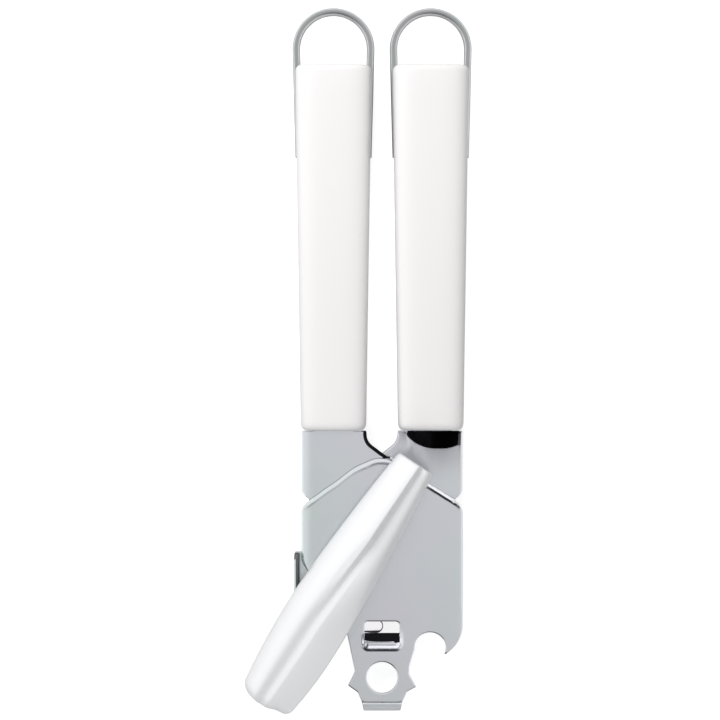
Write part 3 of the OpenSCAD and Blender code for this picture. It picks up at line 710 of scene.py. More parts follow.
@dataclass
class FrontLever:
    """The left tang, the step and the lower plate with its hook, lip, ring hole and tip.

    Attributes:
        plan: Shared places.
        lip_y: Ridge of the pressed lip.
        lip_half: Half length of its ridge.
        cap_c: Centre of the crown-cap notch.
        cap_r: Its radius.
        slopes: Distances beyond the roof line where the step's slope changes.
        lip_side: Height of the lip at distances from its ridge.
    """

    plan: Plan
    lip_y: float = -84.6
    lip_half: float = 4.0
    cap_c: Point = (14.3, -85.9)
    cap_r: float = 4.65
    slopes: tuple[float, ...] = (-1.15, -0.5, 0.45, 0.75)
    lip_side: tuple[Point, ...] = ((0.0, 1.7), (0.25, 1.68), (1.4, 0.76), (1.55, 0.27), (2.25, 0.0))

    def outline(self) -> Loop:
        """Its outline, from the tang's top round the right side."""
        p = self.plan
        x, w, half = p.handle_x, p.half_w, p.tang_half
        top_end, low_end = p.mouth + p.tang_l, p.mouth + p.tang_l - 7
        top = p.roof + 0.95
        turn = -4.4 + (p.throat - top) / math.tan(math.radians(37))
        lobe = (w - 10.0, self.cap_c[1] + 6.9)
        right = rounded([
            (-x - half, top_end, 0), (-x + half, top_end, 0), (-x + half, p.shoulder, 0.3),
            (-4.7, p.shoulder, 0.3),
            (-4.4, p.throat, 4), (turn, top, 0.8), (2.47, top, 2.0), (22.1, -41.21, 0.4),
            (21.6, -42.02, 0.3), (w, -43.52, 4.2), (w, lobe[1], 0)])
        hook = arc(lobe, 10, 0, -62.3, 30) + arc(self.cap_c, self.cap_r, -23.5, 183, 40)
        b = p.tip + 2.7
        low = rounded([
            (9.65, -86.2, 0), (8.1, -91.3, 2.5), (8.0, -93.7, 1.5), (10.2, -97.5, 0.25), (7.4, -99.0, 0.8),
            (6.0, b, 0.6), (5.5, p.tip, 0.5), (-5.5, p.tip, 0.5), (-6.0, b, 0.6), (-7.4, -99.0, 0.8),
            (-10.2, -97.0, 0.25), (-8.1, -92.9, 1.5), (-10.7, -80.6, 8), (-w, p.mouth - 39.2, 5),
            (-w, -43.52, 4.2), (-21.6, -42.02, 0.3), (-22.4, -41.2, 0.3), (-w, p.notch, 3.2),
            (-w, p.shoulder, 0.3), (-x - half, p.shoulder, 0.3), (-x - half, low_end, 0)])
        return right + hook + low

    def roll(self, x: float, y: float) -> float:
        """Width of the rolled edge at a place.

        Args:
            x: Place across.
            y: Place along.

        Returns:
            The width.
        """
        side = window(y, -75.0, self.plan.shoulder) if abs(x) > 10 else 0.0
        throat = window(y, -28.3, -21.3, 0.4) if abs(x) < 6 else 0.0
        stop = window(y, -72.0, -57.0) if x < -15 else 0.0
        return 0.28 + max(0.25 * side if abs(x) > 23.2 or y < -46 else 0.0, 0.62 * throat, 0.5 * stop)

    def height(self, x: float, y: float) -> float:
        """Height of the front face at a place.

        Args:
            x: Place across.
            y: Place along.

        Returns:
            The height.
        """
        p = self.plan
        ridge = 0.08 + 0.2 * ease((x + 7) / 5)
        a, b, c, d = self.slopes
        chamfer = 0.42 + 0.32 * ease((x - 3) / 5)
        foot = -2.0 + 0.75 * ease((x - 1.5) / 2)
        step = ((a, 0.0), (b, ridge), (c, ridge - chamfer), (d, foot))
        z = p.plate_z + p.sheet + along(p.beyond_roof(x, y), step)
        drop = max(0.0, p.tip + 3.05 - y)
        z -= math.tan(math.radians(50)) * (drop * drop / 1.4 if drop < 0.7 else drop - 0.35)
        z += 0.05 * math.sin(drop * 6.6) * ease(drop)
        return z + self.lip(x, y)

    def dish(self, x: float, y: float) -> float:
        """How far the front face falls away towards the sides."""
        w = self.plan.half_w
        return 0.55 * max(0.0, 1 - (x + w) / 6.0) ** 3 + 0.08 * max(0.0, 1 - (w - x) / 1.2) ** 3

    def lip(self, x: float, y: float) -> float:
        """How far the pressed lip stands proud at a place.

        Args:
            x: Place across.
            y: Place along.

        Returns:
            The distance.
        """
        up = y - self.lip_y
        if up <= 0:
            return along(math.hypot(max(abs(x) - self.lip_half, 0.0), up), self.lip_side)
        hood = along(up, ((0.0, 1.7), (0.1, 1.68), (0.85, 1.0), (3.1, 0.0)))
        hood *= 1 - ease((abs(x) - 4.6) / 0.7)
        cheek = along(abs(x), ((5.2, 1.0), (6.0, 0.2), (6.25, 0.0))) * (1 - ease(up / 4.3))
        return max(hood, cheek if abs(x) > 4.4 else 0.0)

    def shadow_line(self, x: float) -> float:
        """Lower edge of the painted shade on the lip's hood."""
        return -83.35 - 0.55 * math.sqrt(max(0.0, 1 - (x / 5.25) ** 2)) - 0.55 * ease((x - 3.3) / 0.7)

    def creases(self) -> list[Loop]:
        """Lines along the step, the lip and the tip's bend."""
        p, out = self.plan, []
        for level in self.slopes:
            run = []
            for i in range(-130, 131):
                low, high, x = -60.0, -20.0, i * 0.19
                for _ in range(20):
                    mid = (low + high) / 2
                    low, high = (mid, high) if p.beyond_roof(x, mid) < level else (low, mid)
                run.append((x, low))
            out.append(run)
        for d, _ in self.lip_side[1:]:
            level = [(x * 0.4, self.lip_y - d) for x in range(-9, 10)]
            out.append(arc((-self.lip_half, self.lip_y), d, 180, 270, 12) + level
                       + arc((self.lip_half, self.lip_y), d, 270, 360, 12))
        out.append([(x * 0.25, self.shadow_line(x * 0.25)) for x in range(-20, 21)])
        for side in (-1, 1):
            out += [[(side * e, self.lip_y + 0.2 * k) for k in range(24)] for e in (5.9, 6.2)]
        for d in (0.9, 1.5, 2.2, 3.0, 4.0, 5.2, 6.5):
            out.append([(d - p.half_w, -21.2 - 0.5 * k) for k in range(100)])
        for up in (3.05, 2.7, 2.35, 1.9, 1.4, 0.9, 0.5):
            out.append([(x * 0.4, p.tip + up) for x in range(-15, 16)])
        return out

    def fine(self, x: float, y: float) -> bool:
        """Whether a place is on the step, the lip or the tip's bend."""
        n = self.plan.beyond_roof(x, y)
        return -1.6 < n < 1.2 or (abs(x) < 6.9 and -87.3 < y < -77.6) or y < self.plan.tip + 3.6

    def build(self, sheet: bpy.types.Material, dark: bpy.types.Material) -> bpy.types.Object:
        """The dressed pressing, in place of its CAD node.

        Args:
            sheet: The sheet's finish.
            dark: Near-black steel, painted shade on the lip's hood and a painted dark reflection along the
                throat edge.

        Returns:
            The object.
        """
        p = self.plan
        slot = rounded([(0, -78.0, 0), (5.25, -78.0, 1.3), (5.25, -81.45, 0.3), (-5.25, -81.45, 0.3),
                        (-5.25, -78.0, 1.0), (-0.1, -78.0, 0)])
        ring_hole = arc((0, p.tip + 10.2), 4.62, 0, 352, 60)
        holes = [slot, ring_hole, arc(p.spindle, 4.22, 0, 350, 36), arc(p.pivot, 2.5, 0, 350, 24)]
        edge = self.outline()
        form = PressedSheet(p, "front_lever_pressing", edge, holes, self.height, self.fine, self.roll,
                            self.creases(), dish=self.dish)
        obj = dressed(form.build(), sheet)
        obj.data.materials.append(dark)
        # Painted shade: near-black steel on the lip's hood, and a painted dark reflection along the throat
        # edge.
        throat = [q for q in evened(edge, 0.3) if abs(q[0]) < 5 and -28.9 < q[1] < p.shoulder + 0.1]
        for face in obj.data.polygons:
            x, y, _ = face.center / MM
            x -= p.cx
            under_lip = abs(x) < 5.2 and self.shadow_line(x) < y < -81.2
            by_throat = -6.5 < x < 3 and -29.5 < y < p.shoulder
            if under_lip or (by_throat and min(math.dist((x, y), q) for q in throat) < 1.0):
                face.material_index = 1
        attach(obj, "front")
        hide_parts("front_lever")
        return obj


@dataclass
class RearLever:
    """The right tang, the joggle, the jaw with its stop flange, and the guard arm.

    Attributes:
        plan: Shared places.
        guard_in: Inner radius of the guard arm about the pivot.
        guard_out: Its outer radius.
        guard_mid: Radius of its middle line.
        guard_end: Direction of its end.
        jaw_left: Distance of the jaw's left edge from the centreline.
        flange_top: Upper end of the stop flange.
    """

    plan: Plan
    guard_in: float = 35.0
    guard_out: float = 39.2
    guard_mid: float = 37.1
    guard_end: float = 267.3
    jaw_left: float = 26.2
    flange_top: float = -57.3

    def outline(self) -> Loop:
        """Its outline, from the tang's top round the right side."""
        p = self.plan
        x, w, c, half = p.handle_x, p.half_w, p.pivot, p.tang_half
        top_end, low_end = p.mouth + p.tang_l, p.mouth + p.tang_l - 7
        end = math.radians(self.guard_end)
        nose = (c[0] + self.guard_mid * math.cos(end), c[1] + self.guard_mid * math.sin(end))
        right = rounded([
            (x - half, top_end, 0), (x + half, top_end, 0), (x + half, p.shoulder, 0.3), (w, p.shoulder, 0.3),
            (w, p.notch, 3.5), (9, c[1] - 8, 5), (2, c[1] - 12, 6), (-4.5, c[1] - 14.5, 4),
            (-7.38, -60.55, 0)])
        pocket = arc(c, 19.32, 247.5, 243.4, 4) + arc(p.spindle, 5.5, 63.4, 229.7, 30)
        arm = (arc(c, self.guard_in, 239.6, self.guard_end, 30)
               + arc(nose, 2.1, self.guard_end - 180, self.guard_end - 360, 16)
               + arc(c, self.guard_out, self.guard_end, 237.6, 30))
        left = rounded([
            (arm[-1][0], arm[-1][1], 0), (-self.jaw_left, -70.7, 4), (-self.jaw_left, self.flange_top, 0.5),
            (-w + 0.6, self.flange_top, 1),
            (-14, c[1] + 0.7, 9), (-4, p.throat - 6.8, 5), (4.4, p.throat, 4), (4.7, p.shoulder, 0.3),
            (x - half, p.shoulder, 0.3), (x - half, low_end, 0)])
        return right + pocket + arm + left

    def height(self, x: float, y: float) -> float:
        """Height of the front face at a place.

        Args:
            x: Place across.
            y: Place along.

        Returns:
            The height.
        """
        p = self.plan
        down, length = p.shoulder + 2.6 * ease((9.5 - x) / 4) - y, self.joggle(x)
        tail = 1 - (1 - max(0.0, min(1.0, (down - length) / 10.0))) ** 2
        z = p.tang_z + p.sheet + 0.55 - 1.8 * max(0.0, min(1.0, down / length)) - 0.6 * tail
        return z - (0.2 * max(0.0, min(6.6, x + 6)) * (1 - ease((y + 77.4) / 2.5)) if x < 3 else 0.0)

    def joggle(self, x: float) -> float:
        """Length of the joggle's steep part, which is curved below."""
        left = max(0.0, min(1.0, (15.5 - x) / 9.1))
        right = max(0.0, min(1.0, (x - 18.0) / 5.0))
        return max(1.2, 5.35 * (1 - left ** 2) ** 0.8 * (1 - 0.22 * right ** 2))

    def creases(self) -> list[Loop]:
        """The joggle's lower line."""
        return [[(x * 0.2, self.plan.shoulder - self.joggle(x * 0.2)) for x in range(24, 120)]]

    def roll(self, x: float, y: float) -> float:
        """Width of the rolled edge at a place.

        Args:
            x: Place across.
            y: Place along.

        Returns:
            The width.
        """
        side = window(y, self.plan.notch, self.plan.shoulder, 1.0) if abs(x) > 22 else 0.0
        throat = window(y, -34.0, self.plan.shoulder, 1.0) if abs(x) < 6 else 0.0
        return 0.28 + max(0.25 * side, 0.3 * throat)

    def fine(self, x: float, y: float) -> bool:
        """Whether a place is on the joggle or the guard arm's end."""
        return self.plan.shoulder - 6.5 < y < self.plan.shoulder + 0.5 or (x < 2 and -82.5 < y < -76.5)

    def build(self, sheet: bpy.types.Material, cut: bpy.types.Material, bright: bpy.types.Material,
              bend: bpy.types.Material) -> bpy.types.Object:
        """The dressed pressing and its flange, in place of its CAD node.

        Args:
            sheet: The sheet's finish.
            cut: Dark steel on its cut edges, partly their own dull tone and partly painted shade.
            bright: Near-white steel on the flat end of the guard arm, a painted highlight.
            bend: Near-black steel on the joggle, a painted dark reflection.

        Returns:
            The pressing.
        """
        p = self.plan
        holes = [arc(p.pivot, 2.55, 0, 350, 24), arc(p.cutter, 1.6, 0, 350, 24)]
        form = PressedSheet(p, "rear_lever_pressing", self.outline(), holes, self.height, self.fine,
                            self.roll, self.creases())
        obj = dressed(form.build(), sheet)
        for finish in (bright, cut, bend):
            obj.data.materials.append(finish)
        for face in obj.data.polygons:
            x, y, _ = face.center / MM
            # The joggle gets near-black steel: a painted dark reflection.
            if 7.4 < x - p.cx < 22.9 and p.shoulder - self.joggle(x - p.cx) < y < p.shoulder:
                face.material_index = 3
            # The guard arm's end, seen through the slot, gets near-white steel on its flat face as a painted
            # highlight, and dark steel on its edges, partly the cut edges' own dull tone and partly painted
            # shade.
            if -6.5 < x - p.cx < 1 and y < -77:
                face.material_index = 1 if face.normal.z > 0.97 else 2
        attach(obj, "rear")
        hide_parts("rear_lever")
        self.flange(sheet, cut)
        return obj

    def flange(self, sheet: bpy.types.Material, cut: bpy.types.Material) -> None:
        """The stop flange bent up at the jaw's left edge, with its cut upper side in dark steel, partly its
        own dull tone and partly painted shade.

        Args:
            sheet: The sheet's finish.
            cut: Dark steel on its cut edges, partly their own dull tone and partly painted shade.
        """
        p = self.plan
        side = rounded([(-57.5, 4.9, 0), (-57.5, 11.5, 1.8), (-69.7, 11.5, 1.8), (-69.7, 4.9, 0)], 8)
        mid_y, mid_z = -63.6, 7.6
        rings = []
        for depth, shrink in ((0.0, 0.5), (0.14, 0.18), (0.45, 0.0), (1.1, 0.0), (1.42, 0.12), (1.6, 0.4)):
            x = p.cx - self.jaw_left + depth
            rings.append([(x, y - math.copysign(shrink, y - mid_y), z - (shrink if z > mid_z else 0))
                          for y, z in side])
        flange = dressed(loft("stop_flange", rings, 50), sheet)
        flange.data.materials.append(cut)
        # The flange's upward cut faces get dark steel: partly the cut edge's own dull tone, partly painted
        # shade.
        for face in flange.data.polygons:
            x, y, _ = face.center / MM
            if face.normal.z > 0.2 and (y > -60.8 or x - p.cx > -25.75):
                face.material_index = 1
        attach(flange, "rear")


# ---------------------------------------------------------------- the handles

@dataclass
class Handle:
    """A grip with its hanging loop.

    Attributes:
        plan: Shared places.
        side: left or right.
        body: The CAD body it rides on.
        mouth_w: Width at the mouth.
        top_w: Width at the top.
        loop_w: Width over the loop's bend.
        band: Thickness and depth of the loop's band.
        lean: Lean of each leg towards the other, in degrees.
    """

    plan: Plan
    side: str
    body: str
    mouth_w: float = 19.5
    top_w: float = 22.8
    loop_w: float = 24.5
    band: tuple[float, float] = (2.3, 4.6)
    lean: float = 1.5

    @property
    def x(self) -> float:
        """Its centreline."""
        return self.plan.cx + (-1 if self.side == "left" else 1) * self.plan.handle_x

    def ring(self, y: float, draw: float, count: int = 96) -> list[tuple[float, float, float]]:
        """One ring of the grip's skin.

        Args:
            y: Distance above the mouth.
            draw: How far the ring is drawn in.
            count: Number of points.

        Returns:
            The ring's points.
        """
        half = (self.mouth_w + (self.top_w - self.mouth_w) * y / self.plan.handle_l) / 2 - draw
        t = self.plan.handle_t / 2
        out = []
        for i in range(count):
            a = 2 * math.pi * (i + 0.5) / count
            c, s = math.cos(a), math.sin(a)
            px = half * math.copysign(abs(c) ** 0.42, c)
            flat = 1 - 0.055 * (px / half) ** 2
            z = t - (t - draw) * math.copysign(abs(s) ** 0.5, s) * flat
            out.append((self.x + px, self.plan.mouth + y, z))
        return out

    def grip(self, plastic: bpy.types.Material) -> bpy.types.Object:
        """The dressed grip, in place of its CAD node."""
        length = self.plan.handle_l
        ends = [(2.0, 2.55), (1.0, 2.5), (0.45, 2.35), (0.1, 1.95), (0.0, 1.5),
                (0.1, 1.0), (0.4, 0.58), (0.9, 0.26), (1.6, 0.07), (2.4, 0.0)]
        rings = [self.ring(y, d) for y, d in ends]
        rings += [self.ring(2.4 + (length - 4.5) * i / 14, 0.0) for i in range(1, 15)]
        rings += [self.ring(length - d, i) for d, i in
                  ((1.4, 0.06), (0.8, 0.3), (0.35, 0.7), (0.08, 1.25), (0.0, 2.0))]
        obj = loft(f"{self.side}_grip", rings, 60)
        self.carve(obj)
        dressed(obj, plastic)
        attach(obj, self.body)
        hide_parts(f"{self.side}_handle_sleeve")
        return obj

    def carve(self, grip: bpy.types.Object) -> None:
        """Cuts the loop's two grooves into the grip."""
        half_t, half_d = self.band[0] / 2 + 0.12, self.band[1] / 2 + 0.12
        for sign in (-1, 1):
            line = [p for p in self.path() if p[0] * sign > 0 and p[1] < self.centre_y]
            top, foot = max(line, key=lambda p: p[1]), min(line, key=lambda p: p[1])
            rings = []
            for px, py in ((foot[0], foot[1] - 0.6), (top[0], top[1] + 4)):
                inner, outer = px * sign - half_t, px * sign + half_t + 2
                rings.append([(self.x + sign * a, py, self.plan.handle_t / 2 + b) for a, b in
                              ((inner, -half_d), (outer, -half_d), (outer, half_d), (inner, half_d))])
            tool = loft(f"groove_tool_{sign}", rings)
            cut = grip.modifiers.new("groove", "BOOLEAN")
            cut.operation, cut.object, cut.solver = "DIFFERENCE", tool, "EXACT"
            with bpy.context.temp_override(object=grip, active_object=grip):
                bpy.ops.object.modifier_apply(modifier=cut.name)
            bpy.data.objects.remove(tool, do_unlink=True)
        grip.data.shade_smooth()
        grip.data.set_sharp_from_angle(angle=math.radians(38))

    @property
    def centre_y(self) -> float:
        """Middle of the loop's bend."""
        return self.plan.mouth + self.plan.handle_l + 17.1 - self.loop_w / 2

    def path(self) -> Loop:
        """The loop's middle line about the handle's centreline, from leg end to leg end."""
        r, y = self.loop_w / 2 - self.band[0] / 2 - 0.005, self.centre_y
        a = math.radians(self.lean)
        bend = arc((0, y), r, -self.lean, 180 + self.lean, 48)
        leg = [(math.sin(a) * t, math.cos(a) * t) for t in (32.0, 24.0, 16.0, 8.0, 0.5)]
        first = [(bend[0][0] - dx, bend[0][1] - dy) for dx, dy in leg]
        return first + bend + [(-px, py) for px, py in reversed(first)]

    def loop(self, steel: bpy.types.Material, side: bpy.types.Material) -> bpy.types.Object:
        """The dressed hanging loop, in place of its CAD node.

        Args:
            steel: Darker steel on its face, painted shade.
            side: Lighter steel on its sides, painted light.

        Returns:
            The band.
        """
        line, rings = self.path(), []
        half_t, half_d = self.band[0] / 2, self.band[1] / 2
        for i, p in enumerate(line):
            a, b = line[max(i - 1, 0)], line[min(i + 1, len(line) - 1)]
            u = Vector((b[0] - a[0], b[1] - a[1])).normalized()
            ring = []
            for k in range(28):
                t = 2 * math.pi * k / 28
                o = half_t * math.copysign(abs(math.cos(t)) ** 0.75, math.cos(t))
                z = half_d * math.copysign(abs(math.sin(t)) ** 0.55, math.sin(t))
                ring.append((self.x + p[0] + u.y * o, p[1] - u.x * o, self.plan.handle_t / 2 + z))
            rings.append(ring)
        obj = dressed(loft(f"{self.side}_loop_band", rings, 60), steel)
        obj.data.materials.append(side)
        # Painted light: faces turned to the front get the darker steel as painted shade, the sides get the
        # lighter steel as painted light.
        for face in obj.data.polygons:
            face.material_index = 0 if abs(face.normal.z) > 0.86 else 1
        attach(obj, self.body)
        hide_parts(f"{self.side}_hanging_loop")
        return obj


# ---------------------------------------------------------------- the turning key

@dataclass
class TurningKey:
    """The long moulded key: a crest that crosses it, full on one flank and hollow on the other.

    Attributes:
        plan: Shared places.
        upper: Reach of its upper arm.
        lower: Reach of its lower arm.
        direction: Direction of the lower arm in degrees.
        crown: Height over its underside at the axis.
        fall: How much lower it is at each end.
        ceiling: Height that no part passes.
    """

    plan: Plan
    upper: float = 40.2
    lower: float = 43.8
    direction: float = 236.5
    crown: float = 13.8
    fall: float = 3.3
    ceiling: float = 13.19

    def swell(self, s: float, at: float, mid: float, low: float, high: float) -> float:
        """Half width at s of an edge that is widest, mid, at a place."""
        if s < at:
            return mid - (mid - low) * ((at - s) / (at + self.upper)) ** 1.5
        return mid - (mid - high) * ((s - at) / (self.lower - at)) ** 2

    def left(self, s: float) -> float:
        """Half width of the left side."""
        return self.swell(s, 10.0, 10.65, 7.5, 7.9)

    def right(self, s: float) -> float:
        """Half width of the right side."""
        return self.swell(s, 23.0, 9.6, 4.6, 7.9)

    def height(self, s: float) -> float:
        """The key's height over its underside."""
        return self.crown - self.fall * (s / (self.upper if s < 0 else self.lower)) ** 2

    @staticmethod
    def left_share(q: float, cut: float, low: float) -> float:
        """Height over the left side as a share.

        Args:
            q: Place from the valley, 0, to the edge, 1.
            cut: Depth of the valley as a share.
            low: 0 on the upper arm, 1 on the lower.

        Returns:
            The share of the key's height.
        """
        dome = 0.22 + 0.78 * math.sqrt(max(0.0, 1 - q ** 2.3))
        upper = dome - cut * (1 - ease(q / 0.17))
        return (1 - low) * upper + low * dome * (1 - cut * math.exp(-(q / 0.25) ** 2))

    @staticmethod
    def right_share(q: float, cut: float, low: float) -> float:
        """Height over the right side as a share: hollow on the upper arm, ridge and flank on the lower.

        Args:
            q: Place from the valley, 0, to the edge, 1.
            cut: Depth of the valley as a share.
            low: 0 on the upper arm, 1 on the lower.

        Returns:
            The share of the key's height.
        """
        hollow = (1 - cut) * (1 + 0.04 * math.sin(math.pi * q)) - 0.36 * q ** 4
        flank = 1 - cut + 0.2 * (cut - 0.03) * ease(q / 0.24) - 0.29 * (max(0.0, q - 0.2) / 0.8) ** 1.2
        return (1 - low) * hollow + low * flank

    def slant(self, s: float, w: float) -> float:
        """How much shorter the lower end is on its right half."""
        return 0.9 * max(0.0, 1 - (self.lower - s) / 6) ** 2 * ease((w - 1) / 4)

    def section(self, s: float, draw: float) -> list[tuple[float, float, float]]:
        """One ring across the key.

        Args:
            s: Place along the key from its axis.
            draw: How far the ring is drawn in.

        Returns:
            The ring's points along, across and up.
        """
        turn = max(-1.0, min(1.0, s / 14.0))
        valley, cut, low = -0.9 * turn, 0.14 + (0.12 if s < 0 else 0.01) * turn ** 2, (1 + turn) / 2
        left, right = 0.12 - self.left(s) + draw * (1.8 if s > 0 else 1.0), self.right(s) - draw
        foot, steps, back = 1.2, 34, s - self.slant(s, right)
        ring = [(s, left + foot, draw), (s, left + foot * 0.3, draw + foot * 0.3), (s, left, draw + foot)]
        for i in range(-steps, steps + 1):
            q = (abs(i) / steps) ** 1.3
            share = self.left_share(q, cut, low) if i < 0 else self.right_share(q, cut, low)
            w = valley + ((left if i < 0 else right) - valley) * q
            top = max(draw + 1.6, min(self.height(s) * share, self.ceiling) - draw)
            ring.append((s - self.slant(s, w), w, top))
        ring += [(back, right, draw + foot), (back, right - foot * 0.3, draw + foot * 0.3)]
        return ring + [(back, right - foot, draw)]

    def placed(self, p: Sequence[float]) -> tuple[float, float, float]:
        """A point along, across and up, put in the row frame."""
        a = math.radians(self.direction)
        x = self.plan.cx + self.plan.spindle[0] + p[0] * math.cos(a) - p[1] * math.sin(a)
        y = self.plan.spindle[1] + p[0] * math.sin(a) + p[1] * math.cos(a)
        return x, y, self.plan.key_z + p[2]

    def build(self, plastic: bpy.types.Material) -> bpy.types.Object:
        """The dressed key and its hub, in place of its CAD node."""
        up, low = self.upper, self.lower
        ends = [(-up, 1.1), (-up + 0.12, 0.65), (-up + 0.45, 0.25), (-up + 1.0, 0.05)]
        ends += [(-up + 1.0 + (up + low - 4.0) * i / 64, 0.0) for i in range(1, 65)]
        ends += [(low - d, draw) for d, draw in
                 ((2.3, 0.12), (1.6, 0.36), (1.0, 0.7), (0.5, 1.1), (0.15, 1.65), (0.0, 2.3))]
        rings = [[self.placed(p) for p in self.section(s, d)] for s, d in ends]
        obj = loft("turning_key_body", rings, 75)
        dressed(obj, plastic)
        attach(obj, "key")
        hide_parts("turning_key")
        hub = []
        profile = ((7.0, 11.6), (7.35, 11.75), (7.5, 12.2), (7.5, 15.6),
                   (7.7, 16.4), (8.0, 17.2), (8.0, 18.5))
        for r, z in profile:
            hub.append([(self.plan.cx + x, y, z) for x, y in arc(self.plan.spindle, r, 0, 354, 59)])
        collar = dressed(loft("turning_key_hub", hub, 50), plastic)
        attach(collar, "key")
        return obj


# ---------------------------------------------------------------- fittings kept from the CAD

@dataclass
class Fittings:
    """The turned and ground fittings, whose CAD shapes stay and get a finish.

    Attributes:
        plan: Shared places.
        at_pivot: Nodes on the rivet's axis.
        at_spindle: Nodes on the key's axis.
        at_cutter: Nodes on the cutting wheel's axis.
        at_tangs: The tangs' cross pins.
    """

    frame: dict
    plan: Plan
    at_pivot: tuple[str, ...] = ("pivot_rivet", "pivot_spacer", "pivot_washer")
    at_spindle: tuple[str, ...] = ("key_insert", "key_spindle", "spindle_bush", "thrust_washer",
                                   "feed_wheel_washer")
    at_cutter: tuple[str, ...] = ("cutter_axle", "cutter_spacer")
    at_tangs: tuple[str, ...] = ("left_tang_pins", "right_tang_pins")

    def axis(self, place: Point) -> tuple[float, float, float]:
        """A point on the axis at a place, in metres."""
        return ((place[0] + self.plan.cx) * MM, place[1] * MM, 0.0)

    def dress(self) -> None:
        """Gives each fitting its finish."""
        steel = (0.60, 0.605, 0.62)
        plan = self.plan
        sets = ((self.at_pivot, plan.pivot, "pivot_steel", steel),
                (self.at_spindle, plan.spindle, "spindle_steel", steel),
                (self.at_cutter, plan.cutter, "axle_steel", steel),
                (self.at_tangs, (0.0, 0.0), "pin_steel", steel),
                (("feed_wheel",), plan.spindle, "feed_wheel_steel", (0.52, 0.52, 0.53)),
                (("cutter_wheel",), plan.cutter, "cutter_steel", (0.68, 0.68, 0.70)))
        for names, place, title, tone in sets:
            material = TurnedSteel(title, tone, self.axis(place)).build()
            for name in names:
                dressed(self.frame["nodes"][name], material)
        core = MouldedPlastic("core_plastic", (0.80, 0.79, 0.76), 0.55, 0.0).build()
        for name in ("left_handle_core", "right_handle_core"):
            dressed(self.frame["nodes"][name], core)


# ---------------------------------------------------------------- the studio

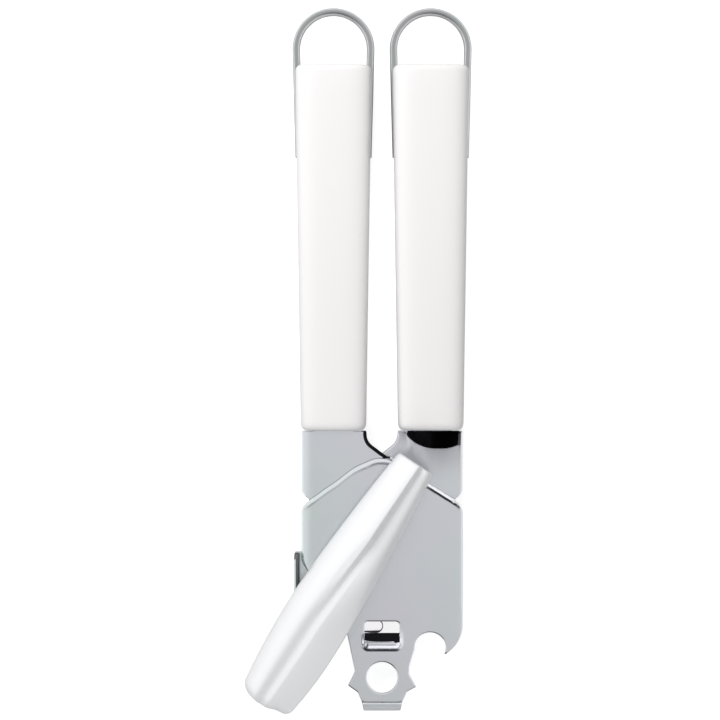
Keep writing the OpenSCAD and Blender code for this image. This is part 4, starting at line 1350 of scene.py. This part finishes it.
@dataclass
class Studio:
    """Camera, floor, lamps and surroundings.

    Attributes:
        sensor_mm: Width of the camera's sensor.
        field_mm: Width of the camera's field at the plates.
        distance: Camera's height above the plates, in metres.
        centre: What the camera looks at, in millimetres.
        floor_seen: White added to the floor for the camera.
        floor_mirrored: White added to it in reflections.
        ambient: Level of the light from all round.
        screen_aim: Direction of the dark screen in degrees.
    """

    sensor_mm: float = 36.0
    field_mm: float = 214.6
    distance: float = 0.9
    centre: tuple[float, float, float] = (0.23, -0.12, 9.0)
    floor_seen: float = 0.76
    floor_mirrored: float = 0.1
    ambient: float = 0.47
    screen_aim: float = 248.0

    def camera(self) -> None:
        """The camera, straight above."""
        data = bpy.data.cameras.new("camera")
        data.sensor_width = self.sensor_mm
        data.lens = self.distance * 1000 * self.sensor_mm / self.field_mm
        data.clip_end = 10.0
        cam = bpy.data.objects.new("camera", data)
        x, y, z = (c * MM for c in self.centre)
        cam.location = (x, y, z + self.distance)
        cam.rotation_euler = (0.0, 0.0, 0.0)
        bpy.context.scene.collection.objects.link(cam)
        bpy.context.scene.camera = cam

    def lamp(self, name: str, place: Sequence[float], size: float, power: float) -> None:
        """A square soft lamp aimed at the opener.

        Args:
            name: Its name.
            place: Where it is, in metres.
            size: Side of its face, in metres.
            power: Its power in watts.
        """
        data = bpy.data.lights.new(name, "AREA")
        data.size, data.energy = size, power
        lamp = bpy.data.objects.new(name, data)
        lamp.visible_glossy = False
        lamp.location = place
        lamp.rotation_euler = Vector(place).to_track_quat("Z", "Y").to_euler()
        bpy.context.scene.collection.objects.link(lamp)

    def floor(self) -> None:
        """A pale floor that keeps the opener's shadow."""
        half, level = 3000.0, -0.02
        corners = [(-half, -half, level), (half, -half, level), (half, half, level), (-half, half, level)]
        obj = made("floor", corners, [(0, 1, 2, 3)])
        material = bpy.data.materials.new("floor_white")
        material.use_nodes = True
        material.node_tree.nodes.clear()
        n = Nodes(material.node_tree)
        diffuse, glow = n.add("ShaderNodeBsdfDiffuse"), n.add("ShaderNodeEmission")
        diffuse.inputs["Color"].default_value = (0.6, 0.6, 0.6, 1)
        rays = n.add("ShaderNodeLightPath").outputs
        mirrored = n.times(rays["Is Glossy Ray"], self.floor_mirrored)
        strength = n.maths("MULTIPLY_ADD", rays["Is Camera Ray"], self.floor_seen, mirrored)
        n.link(strength, glow.inputs["Strength"])
        both = n.add("ShaderNodeAddShader")
        n.link(diffuse.outputs[0], both.inputs[0])
        n.link(glow.outputs[0], both.inputs[1])
        n.link(both.outputs[0], n.add("ShaderNodeOutputMaterial").inputs["Surface"])
        obj.data.materials.append(material)

    def world(self) -> None:
        """White surroundings, with a dark screen low in front for the steel to mirror."""
        world = bpy.data.worlds.new("studio")
        bpy.context.scene.world = world
        world.use_nodes = True
        world.node_tree.nodes.clear()
        n = Nodes(world.node_tree)
        split = n.add("ShaderNodeSeparateXYZ")
        n.link(n.add("ShaderNodeTexCoord").outputs["Generated"], split.inputs[0])
        x, y, z = split.outputs
        aim = math.radians(self.screen_aim)
        ahead = n.plus(n.times(x, math.cos(aim)), n.times(y, math.sin(aim)))
        across = n.minus(n.times(y, math.cos(aim)), n.times(x, math.sin(aim)))
        tilt = n.maths("ARCTAN2", ahead, z)
        far = n.plus(tilt, n.times(n.most(across, 0.0), 1.2))
        dark = n.times(n.rise(tilt, 0.03, 0.42), n.minus(1.0, n.rise(far, 1.45, 1.7)))
        aside = n.maths("DIVIDE", across, n.plus(n.most(ahead, 0.0), 0.1))
        dark = n.times(dark, n.minus(1.0, n.rise(aside, 0.8, 1.3)))
        dark = n.times(dark, n.rise(aside, -0.6, -0.35))
        polar = n.maths("ARCCOSINE", z)
        low_sky = n.times(n.rise(polar, 1.05, 1.25), 0.4)
        ring = n.plus(n.times(n.rise(polar, 0.14, 0.45), 0.22), low_sky)
        sky = n.plus(n.times(n.rise(x, 0.0, 0.8), -0.12), n.plus(ring, 0.78))
        mirror = n.times(sky, n.minus(1.0, n.times(dark, 0.99)))
        rays = n.add("ShaderNodeLightPath").outputs
        glossy = n.times(rays["Is Glossy Ray"], mirror)
        shown = n.most(rays["Is Camera Ray"], rays["Is Transmission Ray"])
        plain = n.times(n.minus(1.0, n.most(shown, rays["Is Glossy Ray"])), self.ambient)
        back = n.add("ShaderNodeBackground")
        back.inputs["Color"].default_value = (1, 1, 1, 1)
        n.link(n.plus(n.plus(glossy, shown), plain), back.inputs["Strength"])
        n.link(back.outputs[0], n.add("ShaderNodeOutputWorld").inputs["Surface"])

    def build(self) -> None:
        """The whole studio but the camera."""
        self.floor()
        self.world()
        self.lamp("key_lamp", (-0.22, 0.38, 0.42), 0.5, 2.75)
        self.lamp("side_lamp", (-0.55, -0.1, 0.3), 0.4, 0.08)
        self.lamp("fill_lamp", (-0.1, -0.5, 0.45), 0.5, 0.7)
        bpy.context.scene.view_settings.view_transform = "Standard"


def main() -> None:
    """Builds every piece in order and reports it."""
    logging.basicConfig(level=logging.INFO, format="%(message)s")
    studio = Studio()
    studio.camera()
    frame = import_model()
    low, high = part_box("pivot_rivet")
    plan = Plan(cx=(low[0] + high[0]) / 2 / MM)
    white = MouldedPlastic("white_plastic", (0.885, 0.872, 0.868)).build()
    cool_white = MouldedPlastic("cool_white_plastic", (0.905, 0.91, 0.925), 0.3, 0.25).build()
    sheet = RolledSheet("stainless_sheet", (0.735, 0.76, 0.79)).build()
    # Dark and light copies of the loop's steel: painted shade on its face, painted light on its sides.
    band = RolledSheet("loop_steel", (0.42, 0.425, 0.435), 0.38, Coords.ALONG_X, 0.2).build()
    band_side = RolledSheet("loop_side_lit_steel", (0.72, 0.725, 0.735), 0.42, Coords.ALONG_X, 0.2).build()
    # Near-black steel for painted shade and a painted dark reflection on the front lever.
    dark = RolledSheet("painted_shade_steel", (0.012, 0.012, 0.014), 0.4).build()
    # Dark steel for cut edges, partly their own dull tone and partly painted shade.
    cut = RolledSheet("cut_edge_shade_steel", (0.16, 0.165, 0.175), 0.35).build()
    # Near-white steel for the painted highlight on the guard arm's end.
    bright = RolledSheet("painted_highlight_steel", (0.95, 0.955, 0.96), 0.1, Coords.ALONG_X, 0.02).build()
    # Near-black steel for the painted dark reflection on the rear lever's joggle.
    painted_reflection = RolledSheet("painted_reflection_steel", (0.012, 0.012, 0.014), 0.25, Coords.ALONG_X).build()
    pieces = [FrontLever(plan).build(sheet, dark), RearLever(plan).build(sheet, cut, bright, painted_reflection)]
    for side, body in (("left", "front"), ("right", "rear")):
        handle = Handle(plan, side, body)
        pieces += [handle.grip(white), handle.loop(band, band_side)]
    pieces.append(TurningKey(plan).build(cool_white))
    Fittings(frame, plan).dress()
    for piece in pieces:
        LOG.info("%s: %d faces", piece.name, len(piece.data.polygons))
    studio.build()


if __name__ == "__main__":
    main()
